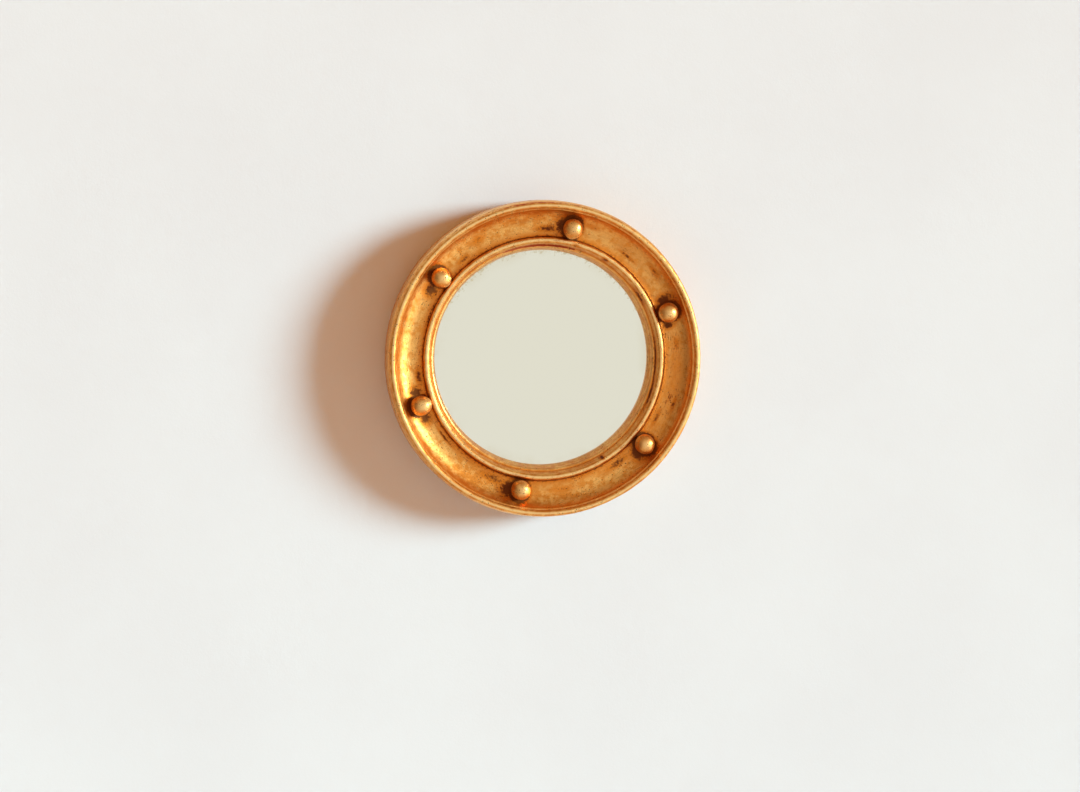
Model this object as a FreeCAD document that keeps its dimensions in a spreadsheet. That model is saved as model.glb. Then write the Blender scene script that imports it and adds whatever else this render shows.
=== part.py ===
import FreeCAD, Part
import os
import re

import Sketcher

# Round convex butler's mirror: a turned and gilded moulding with six balls in
# its cove, a gilded slip, a domed glass bedded behind the slip, and a hanging
# ring let into the back so that the frame lies flat on the wall.
#
# Frame of the model, in mm: the mirror's axis is Y, its front looks along -Y,
# +Z is up and +X is to the right seen from the front. The origin is the centre
# of the back, on the wall. A "height" below is a distance forward from the
# wall, so it is -Y. A "radius" is a distance from the axis.

SIZES = {
    # domed glass
    "glass_radius": 77.5,  # edge of the glass
    "glass_thickness": 2.5,
    "glass_curve": 285.0,  # radius of the sphere that the front belongs to
    "glass_gap": 0.9,  # air between the glass's edge and its rebate
    "glass_overlap": 3.8,  # how far the slip laps over the glass
    "bed_gap": 0.05,  # between the glass and what it is bedded on
    # backboard and the packing between it and the glass
    "board_thickness": 2.5,
    "board_recess": 0.8,  # how far the board lies below the frame's back
    "board_ledge": 5.6,  # width of the ledge that carries the board
    "board_gap": 0.3,  # air round the board
    "board_chamfer": 0.5,
    "packing_edge": 1.7,  # height of the packing at the glass's edge
    "packing_width": 6.0,
    # slip: the inner moulding over the glass
    "slip_ledge": 4.9,  # width of the ledge that carries the slip
    "slip_seat": 9.5,  # height of that ledge
    "slip_gap": 0.1,  # between the slip and the frame
    "slip_rise": 13.0,  # from its seat to its crest
    "slip_bead": 2.4,  # radius of the bead along its crest
    "slip_bead_end": 25.0,  # degrees that the bead turns past its side
    "sight_batter": 1.2,  # how far the sight wall leans back
    "sight_wall": 5.0,  # height of the sight wall above the glass
    "reed_width": 2.3,  # reed between the sight wall and the bead
    "reed_climb": 2.3,
    "reed_radius": 2.2,
    # cove
    "cove_inset": 5.5,  # from the slip's socket to the cove's lowest line
    "cove_floor": 19.0,  # height of that line
    "cove_run": 12.75,  # from that line out to the cove's edge
    "cove_depth": 7.4,  # how far the edge stands above the line
    # rim outside the cove
    "step_width": 0.42,  # each of two small steps on the cove's edge
    "step_rise": 0.45,
    "rim_bead": 2.35,  # radius of the bead along the rim's crest
    "bead_foot": 20.0,  # degrees below level where the bead's inside ends
    "bead_heel": 47.0,  # and where its outside ends
    "roll_lean": 1.0,  # large flat roll under the rim's bead
    "roll_height": 8.1,
    "roll_radius": 7.1,
    "quirk_depth": 0.8,  # groove between the roll and the outer wall
    "quirk_height": 0.5,
    # outer wall
    "taper_height": 9.0,  # the wall tapers towards the back below this
    "back_taper": 1.8,
    # balls and their pegs
    "ball_radius": 7.0,
    "ball_clearance": 0.25,  # between a ball and the slip
    "ball_sink": 1.3,  # how deep a ball sits in its socket
    "socket_gap": 0.05,
    "peg_radius": 2.0,
    "peg_gap": 0.05,
    "peg_in_ball": 5.0,
    "peg_in_frame": 6.0,
    "peg_end_gap": 0.4,  # glue space at each end of a peg
    "peg_chamfer": 0.4,
    # clock angles of the balls in degrees, set by hand, so not quite even
    "ball_angle_1": 12.2,
    "ball_angle_2": 70.0,
    "ball_angle_3": 130.5,
    "ball_angle_4": 190.6,
    "ball_angle_5": 250.3,
    "ball_angle_6": 308.3,
    # pins through the board
    "pin_count": 8,
    "pin_inset": 3.0,  # from the glass rebate's wall to the ring of pins
    "pin_start": 22.5,  # clock angle of the first pin in degrees
    "pin_radius": 0.65,
    "pin_length": 7.0,
    "pin_point": 0.5,  # bevel at its tip
    "pin_gap": 0.03,
    "pin_head_radius": 1.5,
    "pin_head": 0.6,
    # recess for the hanger in the frame's back
    "recess_wall": 1.6,  # wood between the board's rebate and the recess
    "recess_length": 17.9,
    "recess_width": 18.0,
    "recess_depth": 5.5,
    "recess_corner": 4.0,
    # hanger: a folded brass strap, a ring and a screw
    "strap_thickness": 0.7,
    "strap_width": 8.0,
    "strap_tail": 6.6,  # from the ring's axis to the end of the strap
    "strap_end_gap": 0.5,  # from that end to the recess's lower side
    "strap_corner": 1.5,
    "wire_radius": 0.9,
    "wire_gap": 0.08,  # running clearance of the ring in the strap's eye
    "ring_bar": 4.6,  # half the straight bar of the ring
    "ring_corner": 1.8,
    "screw_place": 4.2,  # from the ring's axis to the screw
    "screw_radius": 1.0,
    "screw_length": 6.0,
    "screw_point": 2.0,
    "screw_gap": 0.05,
    "screw_head_radius": 1.9,
    "screw_head": 1.1,
    "screw_head_edge": 0.5,
    "screw_slot_width": 0.5,
    "screw_slot_depth": 0.45,
}

# Places worked out from the sizes, as formulas.
BORE = "(glass_radius + glass_gap)"
SIGHT = "(glass_radius - glass_overlap)"
REBATE = f"({BORE} + board_ledge)"
SLIP_SOCKET = f"({BORE} + slip_ledge)"
SLIP_OUTER = f"({SLIP_SOCKET} - slip_gap)"
SLIP_TONGUE = f"({BORE} - slip_gap)"
SLIP_CREST = "(slip_seat + slip_rise)"
BOARD_FRONT = "(board_recess + board_thickness)"

COVE_CENTRE = f"({SLIP_SOCKET} + cove_inset)"
COVE_EDGE = f"({COVE_CENTRE} + cove_run)"
COVE_TOP = "(cove_floor + cove_depth)"
COVE_RADIUS = "((cove_run^2 + cove_depth^2) / (2 * cove_depth))"
BEAD_FOOT = f"({COVE_EDGE} + 2 * step_width)"
BEAD_FOOT_HEIGHT = f"({COVE_TOP} + step_rise)"
BEAD_CENTRE = f"({BEAD_FOOT} + rim_bead * cos(bead_foot))"
BEAD_HEIGHT = f"({BEAD_FOOT_HEIGHT} + rim_bead * sin(bead_foot))"
ROLL_TOP = f"({BEAD_CENTRE} + rim_bead * cos(bead_heel))"
ROLL_TOP_HEIGHT = f"({BEAD_HEIGHT} - rim_bead * sin(bead_heel))"
QUIRK = f"({ROLL_TOP} + roll_lean)"
QUIRK_HEIGHT = f"({ROLL_TOP_HEIGHT} - roll_height)"
WALL = f"({QUIRK} + quirk_depth)"
BACK = f"({WALL} - back_taper)"

# Centre of the glass's sphere, and the heights of its two faces at a radius.
GLASS_EDGE_HEIGHT = f"({BOARD_FRONT} + packing_edge)"
SPHERE_HEIGHT = (
    f"({GLASS_EDGE_HEIGHT} - sqrt((glass_curve - glass_thickness)^2 - glass_radius^2))"
)


def sphere_height(sphere_radius, at_radius):
    """Formula for the height of a sphere round the glass's centre at a radius."""
    return f"({SPHERE_HEIGHT} + sqrt(({sphere_radius})^2 - ({at_radius})^2))"


def cove_height(aside):
    """Formula for the cove's height at a distance aside from its lowest line."""
    return f"(cove_floor + {COVE_RADIUS} - sqrt({COVE_RADIUS}^2 - ({aside})^2))"


BALL_RING = f"({SLIP_OUTER} + ball_clearance + ball_radius)"
COVE_AT_BALL = cove_height(f"{BALL_RING} - {COVE_CENTRE}")
BALL_HEIGHT = f"({COVE_AT_BALL} + ball_radius - ball_sink)"
BALL_FOOT = f"({BALL_HEIGHT} - ball_radius)"
PEG_BASE = f"({BALL_FOOT} - peg_in_frame)"
PEG_LENGTH = "(peg_in_frame + peg_in_ball)"
BALL_COUNT = 6

PIN_RING = f"({BORE} + pin_inset)"

EYE_BORE = "(wire_radius + wire_gap)"
EYE_OUTER = f"({EYE_BORE} + strap_thickness)"
RECESS_BOTTOM = f"({REBATE} + recess_wall)"
RECESS_TOP = f"({RECESS_BOTTOM} + recess_length)"
HINGE_HEIGHT = f"(recess_depth - {EYE_OUTER})"
HINGE_UP = f"({RECESS_BOTTOM} + strap_end_gap + strap_tail)"
TAIL_TOP = f"({EYE_OUTER} - 2 * strap_thickness)"
SCREW_SEAT = "(recess_depth - 2 * strap_thickness)"
SCREW_UP = f"({HINGE_UP} - screw_place)"

HOLLOW = -1
ROUND = 1
LEAST_CHANGE = 1e-6


def fill_sheet():
    """Write every size into the sheet, one named cell each."""
    for row, (name, size) in enumerate(SIZES.items(), start=1):
        sheet.set(f"A{row}", name)
        sheet.set(f"B{row}", str(size))
        sheet.setAlias(f"B{row}", name)
    doc.recompute()


def linked(formula):
    """The formula with each size's name pointed at its cell."""
    return re.sub(
        r"[a-z]\w+", lambda word: f"Sizes.{word[0]}" if word[0] in SIZES else word[0], formula
    )


def number(formula):
    """The number that a formula comes to with the sizes as they are."""
    return float(sheet.evalExpression(str(formula)))


def bind(thing, prop, formula):
    """Tie a property, or a sketch's constraint, to a formula over the sizes."""
    thing.setExpression(prop, linked(str(formula)))


def new_body(name):
    body = doc.addObject("PartDesign::Body", "Body_" + name)
    body.Label = name
    return body


def move(body, x, height, z):
    """Put a body's own origin at a place in the model."""
    bind(body, "Placement.Base.x", x)
    bind(body, "Placement.Base.y", f"-({height})")
    bind(body, "Placement.Base.z", z)


def origin_part(body, role):
    return next(part for part in body.Origin.OriginFeatures if part.Role == role)


def new_sketch(body, name, plane):
    sketch = body.newObject("Sketcher::SketchObject", name)
    sketch.AttachmentSupport = [(origin_part(body, plane), "")]
    sketch.MapMode = "FlatFace"
    return sketch


def pin_point(sketch, side, end, across, up):
    """Fix one end of a side at a distance across and up from the origin."""
    for kind, formula in (("DistanceX", across), ("DistanceY", up)):
        size = Sketcher.Constraint(kind, side, end, number(formula))
        bind(sketch, f"Constraints[{sketch.addConstraint(size)}]", formula)


def arc_between(start, finish, radius, turn):
    """An arc from start to finish, turning left (1) or right (-1), under half a circle."""
    chord = finish - start
    apothem = max(radius**2 - (chord.Length / 2) ** 2, 0) ** 0.5
    left = FreeCAD.Vector(-chord.y, chord.x, 0).normalize()
    centre = (start + finish) / 2 + left * apothem * turn
    circle = Part.Circle(centre, FreeCAD.Vector(0, 0, 1), radius)
    first, last = (start, finish) if turn > 0 else (finish, start)
    return Part.ArcOfCircle(circle, circle.parameter(first), circle.parameter(last))


def outline(sketch, corners, up_sign=1):
    """Draw a closed outline of lines and arcs, anticlockwise, solid to its left.

    Each corner is (across, up), both formulas, or (across, up, radius, bulge)
    where the side that leaves it is an arc that is ROUND or HOLLOW.
    up_sign is -1 where the sketch's own up runs against the outline's.
    """
    places = [
        FreeCAD.Vector(number(corner[0]), up_sign * number(corner[1]), 0) for corner in corners
    ]
    starts = []
    ends = []
    for index, corner in enumerate(corners):
        start, finish = places[index], places[(index + 1) % len(places)]
        if len(corner) == 2:
            side = sketch.addGeometry(Part.LineSegment(start, finish), False)
            start_end, finish_end = 1, 2
        else:
            turn = corner[3] * up_sign
            arc = arc_between(start, finish, number(corner[2]), turn)
            side = sketch.addGeometry(arc, False)
            start_end, finish_end = (1, 2) if turn > 0 else (2, 1)
        starts.append((side, start_end))
        ends.append((side, finish_end))
    for index, corner in enumerate(corners):
        sketch.addConstraint(Sketcher.Constraint("Coincident", *ends[index - 1], *starts[index]))
        up = corner[1] if up_sign > 0 else f"-({corner[1]})"
        pin_point(sketch, *starts[index], corner[0], up)
        if len(corner) == 4:
            radius = Sketcher.Constraint("Radius", starts[index][0], number(corner[2]))
            bind(sketch, f"Constraints[{sketch.addConstraint(radius)}]", corner[2])
    doc.recompute()


def circle(sketch, across, up, radius):
    """Draw a circle whose centre and radius are formulas."""
    centre = FreeCAD.Vector(number(across), number(up), 0)
    round_wire = Part.Circle(centre, FreeCAD.Vector(0, 0, 1), number(radius))
    side = sketch.addGeometry(round_wire, False)
    pin_point(sketch, side, 3, across, up)
    size = Sketcher.Constraint("Radius", side, number(radius))
    bind(sketch, f"Constraints[{sketch.addConstraint(size)}]", radius)


def add_feature(body, kind, name, **settings):
    """Add a feature, and stop if it doesn't change the body's volume as it should."""
    before = body.Shape.Volume if body.Tip else 0.0
    feature = body.newObject("PartDesign::" + kind, name)
    for prop, setting in settings.items():
        if prop in ("Length", "Radius", "Occurrences", "Size"):
            bind(feature, prop, setting)
        else:
            setattr(feature, prop, setting)
    body.Tip = feature
    doc.recompute()
    change = body.Shape.Volume - before
    removes = kind in ("Pocket", "Groove", "SubtractiveSphere", "Chamfer", "Fillet")
    if removes and change > -LEAST_CHANGE or not removes and abs(change) < LEAST_CHANGE:
        raise RuntimeError(f"{body.Label}: {name} changes nothing")
    return feature


def turned(body, name, corners):
    """Turn an outline of (radius, height) corners about the body's Y axis."""
    sketch = new_sketch(body, name + "_section", "XY_Plane")
    outline(sketch, corners, up_sign=-1)
    axis = (sketch, ["V_Axis"])
    return add_feature(body, "Revolution", name, Profile=sketch, ReferenceAxis=axis, Angle=360.0)


def face_sketch(body, name, height):
    """A sketch that looks at the mirror's front, at a height above the wall."""
    sketch = new_sketch(body, name, "XZ_Plane")
    bind(sketch, "AttachmentOffset.Base.z", height)
    return sketch


def cut_forward(body, name, sketch, length):
    """Cut from a sketch towards the mirror's front."""
    return add_feature(body, "Pocket", name, Profile=sketch, Length=length, Reversed=True)


def round_the_ring(body, name, feature):
    """Repeat a feature for every pin, round the mirror's axis."""
    return add_feature(
        body,
        "PolarPattern",
        name,
        Originals=[feature],
        Axis=(origin_part(body, "Y_Axis"), [""]),
        Angle=360.0,
        Occurrences="pin_count",
    )


def edges_where(body, wanted):
    """Names of the body's edges for which wanted(edge) is true."""
    edges = body.Tip.Shape.Edges
    return [f"Edge{index}" for index, edge in enumerate(edges, start=1) if wanted(edge)]


def pin_place():
    """Where the first pin stands, across and up."""
    return f"{PIN_RING} * sin(pin_start)", f"{PIN_RING} * cos(pin_start)"


def make_frame_moulding():
    """The turned moulding: back, outer wall, roll, rim bead, cove and the inner rebates."""
    body = new_body("frame_moulding")
    turned(
        body,
        "moulding",
        [
            (REBATE, "0"),
            (BACK, "0"),
            (WALL, "taper_height"),
            (WALL, f"{QUIRK_HEIGHT} - quirk_height"),
            (QUIRK, QUIRK_HEIGHT, "roll_radius", ROUND),
            (ROLL_TOP, ROLL_TOP_HEIGHT, "rim_bead", ROUND),
            (BEAD_CENTRE, f"{BEAD_HEIGHT} + rim_bead", "rim_bead", ROUND),
            (BEAD_FOOT, BEAD_FOOT_HEIGHT),
            (f"{COVE_EDGE} + step_width", BEAD_FOOT_HEIGHT),
            (f"{COVE_EDGE} + step_width", COVE_TOP),
            (COVE_EDGE, COVE_TOP, COVE_RADIUS, HOLLOW),
            (COVE_CENTRE, "cove_floor", COVE_RADIUS, HOLLOW),
            (SLIP_SOCKET, cove_height("cove_inset")),
            (SLIP_SOCKET, "slip_seat"),
            (BORE, "slip_seat"),
            (BORE, BOARD_FRONT),
            (REBATE, BOARD_FRONT),
        ],
    )
    cut_ball_sockets(body)
    cut_pin_holes(body)
    cut_hanger_recess(body)


def ball_place(index):
    """Where ball number index stands, across and up."""
    angle = f"ball_angle_{index}"
    return f"{BALL_RING} * sin({angle})", f"{BALL_RING} * cos({angle})"


def cut_ball_sockets(body):
    """Round sockets in the cove, each with a peg hole under it."""
    holes = face_sketch(body, "peg_hole_circles", f"{PEG_BASE} - peg_end_gap")
    for index in range(1, BALL_COUNT + 1):
        circle(holes, *ball_place(index), "peg_radius + peg_gap")
    cut_forward(body, "peg_holes", holes, f"{PEG_LENGTH} + peg_end_gap")
    for index in range(1, BALL_COUNT + 1):
        socket = body.newObject("PartDesign::SubtractiveSphere", f"socket_{index}")
        across, up = ball_place(index)
        bind(socket, "Radius", "ball_radius + socket_gap")
        bind(socket, "Placement.Base.x", across)
        bind(socket, "Placement.Base.y", f"-({BALL_HEIGHT})")
        bind(socket, "Placement.Base.z", up)
        body.Tip = socket
    doc.recompute()


def cut_pin_holes(body):
    """Pilot holes in the board's ledge."""
    first = face_sketch(body, "pilot_circle", BOARD_FRONT)
    circle(first, *pin_place(), "pin_radius + pin_gap")
    hole = cut_forward(body, "pilot_hole", first, "pin_length - board_thickness + pin_gap")
    round_the_ring(body, "pilot_holes", hole)


def cut_hanger_recess(body):
    """Recess with round corners in the frame's back, and the screw's pilot hole."""
    plan = face_sketch(body, "recess_plan", "0")
    half = "recess_width / 2"
    inner = f"{half} - recess_corner"
    low = f"{RECESS_BOTTOM} + recess_corner"
    high = f"{RECESS_TOP} - recess_corner"
    outline(
        plan,
        [
            (f"-({inner})", RECESS_BOTTOM),
            (inner, RECESS_BOTTOM, "recess_corner", ROUND),
            (half, low),
            (half, high, "recess_corner", ROUND),
            (inner, RECESS_TOP),
            (f"-({inner})", RECESS_TOP, "recess_corner", ROUND),
            (f"-({half})", high),
            (f"-({half})", low, "recess_corner", ROUND),
        ],
    )
    cut_forward(body, "hanger_recess", plan, "recess_depth")
    pilot = face_sketch(body, "screw_pilot_circle", "recess_depth")
    circle(pilot, "0", SCREW_UP, "screw_radius + screw_gap")
    depth = f"{SCREW_SEAT} + screw_length - recess_depth + screw_gap"
    cut_forward(body, "screw_pilot", pilot, depth)


def make_sight_slip():
    """The inner moulding: a bead along its crest, a reed and the leaning sight wall."""
    body = new_body("sight_slip")
    bedding = "glass_curve + bed_gap"
    bead_centre = f"({SLIP_OUTER} - slip_bead)"
    bead_height = f"({SLIP_CREST} - slip_bead)"
    glass_at_sight = sphere_height(bedding, SIGHT)
    wall_top = f"({glass_at_sight} + sight_wall)"
    turned(
        body,
        "slip",
        [
            (SIGHT, glass_at_sight, bedding, HOLLOW),
            (SLIP_TONGUE, sphere_height(bedding, SLIP_TONGUE)),
            (SLIP_TONGUE, "slip_seat"),
            (SLIP_OUTER, "slip_seat"),
            (SLIP_OUTER, bead_height, "slip_bead", ROUND),
            (bead_centre, SLIP_CREST, "slip_bead", ROUND),
            (
                f"{bead_centre} - slip_bead * cos(slip_bead_end)",
                f"{bead_height} - slip_bead * sin(slip_bead_end)",
            ),
            (
                f"{SIGHT} + sight_batter + reed_width",
                f"{wall_top} + reed_climb",
                "reed_radius",
                ROUND,
            ),
            (f"{SIGHT} + sight_batter", wall_top),
        ],
    )


def make_mirror_glass():
    """The domed glass, slumped to one thickness all over."""
    body = new_body("mirror_glass")
    back = "glass_curve - glass_thickness"
    turned(
        body,
        "dome",
        [
            ("0", sphere_height(back, "0"), back, HOLLOW),
            ("glass_radius", GLASS_EDGE_HEIGHT),
            ("glass_radius", sphere_height("glass_curve", "glass_radius"), "glass_curve", ROUND),
            ("0", sphere_height("glass_curve", "0")),
        ],
    )


def make_glass_packing():
    """The soft ring between the backboard and the glass's edge."""
    body = new_body("glass_packing")
    inner = "glass_radius - packing_width"
    bedding = "glass_curve - glass_thickness - bed_gap"
    turned(
        body,
        "packing",
        [
            (inner, BOARD_FRONT),
            ("glass_radius", BOARD_FRONT),
            ("glass_radius", sphere_height(bedding, "glass_radius"), bedding, ROUND),
            (inner, sphere_height(bedding, inner)),
        ],
    )


def make_backboard():
    """The thin plywood disc that closes the back."""
    body = new_body("backboard")
    disc = face_sketch(body, "disc_circle", "board_recess")
    circle(disc, "0", "0", f"{REBATE} - board_gap")
    add_feature(body, "Pad", "disc", Profile=disc, Length="board_thickness")
    rims = edges_where(body, lambda edge: edge.Curve.TypeId == "Part::GeomCircle")
    add_feature(body, "Chamfer", "eased_edge", Base=(body.Tip, rims), Size="board_chamfer")
    first = face_sketch(body, "board_hole_circle", "board_recess")
    circle(first, *pin_place(), "pin_radius + pin_gap")
    hole = cut_forward(body, "board_hole", first, "board_thickness")
    round_the_ring(body, "board_holes", hole)


def make_backboard_pins():
    """The ring of headed pins that hold the backboard, one solid each."""
    body = new_body("backboard_pins")
    across, up = pin_place()
    head = face_sketch(body, "head_circle", "board_recess - pin_head")
    circle(head, across, up, "pin_head_radius")
    pin_head = add_feature(body, "Pad", "head", Profile=head, Length="pin_head")
    shank = face_sketch(body, "shank_circle", "board_recess")
    circle(shank, across, up, "pin_radius")
    pin_shank = add_feature(body, "Pad", "shank", Profile=shank, Length="pin_length")
    tip_height = number("board_recess + pin_length")
    tips = edges_where(body, lambda edge: abs(edge.CenterOfMass.y + tip_height) < 1e-3)
    point = add_feature(body, "Chamfer", "point", Base=(body.Tip, tips), Size="pin_point")
    add_feature(
        body,
        "PolarPattern",
        "pins",
        Originals=[pin_head, pin_shank, point],
        Axis=(origin_part(body, "Y_Axis"), [""]),
        Angle=360.0,
        Occurrences="pin_count",
    )


def make_ball(index):
    """A turned ball with a blind hole for its peg."""
    body = new_body(f"ball_{index}")
    turned(
        body,
        "sphere",
        [
            ("0", "-ball_radius", "ball_radius", ROUND),
            ("ball_radius", "0", "ball_radius", ROUND),
            ("0", "ball_radius"),
        ],
    )
    hole = face_sketch(body, "hole_circle", "-ball_radius")
    circle(hole, "0", "0", "peg_radius + peg_gap")
    cut_forward(body, "peg_hole", hole, "peg_in_ball + peg_end_gap")
    across, up = ball_place(index)
    move(body, across, BALL_HEIGHT, up)


def make_ball_peg(index):
    """The dowel between a ball and the cove."""
    body = new_body(f"ball_peg_{index}")
    turned(
        body,
        "dowel",
        [
            ("0", "0"),
            ("peg_radius - peg_chamfer", "0"),
            ("peg_radius", "peg_chamfer"),
            ("peg_radius", f"{PEG_LENGTH} - peg_chamfer"),
            ("peg_radius - peg_chamfer", PEG_LENGTH),
            ("0", PEG_LENGTH),
        ],
    )
    across, up = ball_place(index)
    move(body, across, PEG_BASE, up)


def make_hanger_strap():
    """The brass strap, folded round the ring's bar, with its two layers under the screw."""
    body = new_body("hanger_strap")
    side = new_sketch(body, "strap_side", "YZ_Plane")
    outline(
        side,
        [
            (f"-{EYE_OUTER}", "-strap_tail"),
            (f"-{TAIL_TOP}", "-strap_tail"),
            (f"-{TAIL_TOP}", f"-sqrt({EYE_OUTER}^2 - {TAIL_TOP}^2)", EYE_OUTER, ROUND),
            (EYE_OUTER, "0", EYE_OUTER, ROUND),
            ("0", EYE_OUTER, EYE_OUTER, ROUND),
            (f"-{EYE_OUTER}", "0"),
        ],
    )
    circle(side, "0", "0", EYE_BORE)
    add_feature(body, "Pad", "strap", Profile=side, Length="strap_width", Midplane=True)
    hole = face_sketch(body, "screw_hole_circle", TAIL_TOP)
    circle(hole, "0", "-screw_place", "screw_radius + screw_gap")
    cut_forward(body, "screw_hole", hole, "2 * strap_thickness")
    tail_end = number("-strap_tail")
    corners = edges_where(
        body,
        lambda edge: abs(edge.BoundBox.ZMax - tail_end) < 1e-3
        and edge.BoundBox.XLength < 1e-3,
    )
    add_feature(body, "Fillet", "round_end", Base=(body.Tip, corners), Radius="strap_corner")
    move(body, "0", HINGE_HEIGHT, HINGE_UP)


def make_hanger_ring():
    """The D-shaped ring, one bent wire whose straight bar turns in the strap's eye."""
    body = new_body("hanger_ring")
    path = new_sketch(body, "ring_path", "XZ_Plane")
    bow = "(ring_bar + ring_corner)"
    outline(
        path,
        [
            ("0", "0"),
            ("ring_bar", "0", "ring_corner", ROUND),
            (bow, "ring_corner", bow, ROUND),
            ("0", f"ring_corner + {bow}", bow, ROUND),
            (f"-{bow}", "ring_corner", "ring_corner", ROUND),
            ("-ring_bar", "0"),
        ],
    )
    wire = new_sketch(body, "wire_circle", "YZ_Plane")
    circle(wire, "0", "0", "wire_radius")
    add_feature(body, "AdditivePipe", "ring", Profile=wire, Spine=(path, []))
    move(body, "0", HINGE_HEIGHT, HINGE_UP)


def make_hanger_screw():
    """The round-headed slotted screw through the strap's two layers."""
    body = new_body("hanger_screw")
    turned(
        body,
        "screw",
        [
            ("0", "-screw_head"),
            ("screw_head_radius - screw_head_edge", "-screw_head", "screw_head_edge", ROUND),
            ("screw_head_radius", "screw_head_edge - screw_head"),
            ("screw_head_radius", "0"),
            ("screw_radius", "0"),
            ("screw_radius", "screw_length - screw_point"),
            ("0", "screw_length"),
        ],
    )
    slot = face_sketch(body, "slot_plan", "-screw_head")
    half_width = "screw_slot_width / 2"
    outline(
        slot,
        [
            (f"-{half_width}", "-screw_head_radius"),
            (half_width, "-screw_head_radius"),
            (half_width, "screw_head_radius"),
            (f"-{half_width}", "screw_head_radius"),
        ],
    )
    cut_forward(body, "slot", slot, "screw_slot_depth")
    move(body, "0", SCREW_SEAT, SCREW_UP)


def check_and_export():
    """Stop on a failed object or shape, then write one file for each sub-part."""
    doc.recompute()
    for thing in doc.Objects:
        if "Invalid" in thing.State or "Error" in thing.State:
            raise RuntimeError(f"{thing.Label} has failed: {thing.State}")
    bodies = [thing for thing in doc.Objects if thing.TypeId == "PartDesign::Body"]
    for body in bodies:
        if body.Shape.isNull() or not body.Shape.isValid():
            raise RuntimeError(f"{body.Label} has no valid shape")
    os.makedirs("parts", exist_ok=True)
    for body in bodies:
        body.Shape.exportStep(f"parts/{body.Label}.step")
        box = body.Shape.BoundBox
        print(
            f"{body.Label}: {len(body.Shape.Solids)} solid(s), {body.Shape.Volume:.1f} mm3,"
            f" {box.XLength:.2f} x {box.YLength:.2f} x {box.ZLength:.2f} mm"
        )


doc = FreeCAD.newDocument("butlers_mirror")
sheet = doc.addObject("Spreadsheet::Sheet", "Sizes")
fill_sheet()
make_frame_moulding()
make_sight_slip()
make_mirror_glass()
make_glass_packing()
make_backboard()
make_backboard_pins()
for ball_number in range(1, BALL_COUNT + 1):
    make_ball(ball_number)
    make_ball_peg(ball_number)
make_hanger_strap()
make_hanger_ring()
make_hanger_screw()
check_and_export()
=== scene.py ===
"""Looks of a round convex butler's mirror.

A turned, gessoed and gilded moulding holds six balls in its cove. Inside it, a gilded slip
laps over a domed glass that is silvered on its back. A plywood board closes the back, where
a brass ring hangs in a recess.

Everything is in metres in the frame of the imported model: the mirror's axis is Y, its front
looks along -Y and +Z is up. A "radius" is a distance from the axis and a "height" is a
distance forward from the wall, both in millimetres. A clock angle is in degrees from
straight up, clockwise as seen from the front.
"""

import logging
import math
from dataclasses import dataclass
from enum import Enum
from typing import NamedTuple, Sequence

import bmesh
import bpy
import numpy as np
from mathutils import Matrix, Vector


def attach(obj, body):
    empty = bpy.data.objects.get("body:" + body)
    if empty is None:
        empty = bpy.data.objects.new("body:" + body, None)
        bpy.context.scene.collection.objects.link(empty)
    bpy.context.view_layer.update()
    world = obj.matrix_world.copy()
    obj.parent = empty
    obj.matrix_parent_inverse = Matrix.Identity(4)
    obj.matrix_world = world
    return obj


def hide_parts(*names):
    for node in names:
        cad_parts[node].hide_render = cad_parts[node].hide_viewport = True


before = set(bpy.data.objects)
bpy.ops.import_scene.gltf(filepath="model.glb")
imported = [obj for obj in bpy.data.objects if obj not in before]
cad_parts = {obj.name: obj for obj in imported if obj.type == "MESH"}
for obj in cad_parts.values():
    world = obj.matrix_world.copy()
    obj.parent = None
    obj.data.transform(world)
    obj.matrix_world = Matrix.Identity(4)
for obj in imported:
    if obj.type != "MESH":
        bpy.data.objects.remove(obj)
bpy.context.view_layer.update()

MM = 0.001
TINY = 1e-6  # metres: points that lie closer become one, and a radius counts as no less
SMOOTH_ANGLE = 38.0  # degrees between two faces up to which their edge looks rounded
LOG = logging.getLogger("butlers_mirror")
Colour = tuple[float, float, float, float]
Triple = tuple[float, float, float]
Spot = tuple[float, float]  # radius and height of a section's point
Socket = bpy.types.NodeSocket
Tree = bpy.types.NodeTree
Material = bpy.types.Material
Object = bpy.types.Object


def tone(red: int, green: int, blue: int) -> Colour:
    """Turn a colour as it looks on a screen into linear light.

    Args:
        red, green, blue: the colour, each from 0 to 255.

    Returns:
        The linear colour with full alpha.
    """
    shares = (channel / 255 for channel in (red, green, blue))
    linear = [s / 12.92 if s <= 0.04045 else ((s + 0.055) / 1.055) ** 2.4 for s in shares]
    return (*linear, 1.0)


# ---- shader nodes


class Ripples(NamedTuple):
    """Soft fractal noise."""

    scale: float  # ripples in a metre
    detail: float = 3.0
    rough: float = 0.55


class Turning(NamedTuple):
    """Lines round the mirror's axis."""

    across: float  # lines in a millimetre
    around: float  # how often each is broken


class Breaking(NamedTuple):
    """How a smooth mask is broken up."""

    amount: float  # factor of the mask
    scale: float  # of the noise that breaks it
    breakup: float  # how far that noise swings it
    edge: float  # how soft its edge is


class Speckle(NamedTuple):
    """Small pits."""

    scale: float  # in a metre
    share: float  # how many places have one, at most
    size: float  # of the largest, as a share of a cell


class Step(NamedTuple):
    """Smooth step of a value that runs from low to high."""

    low: float
    high: float
    bottom: float = 0.0
    top: float = 1.0


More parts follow.
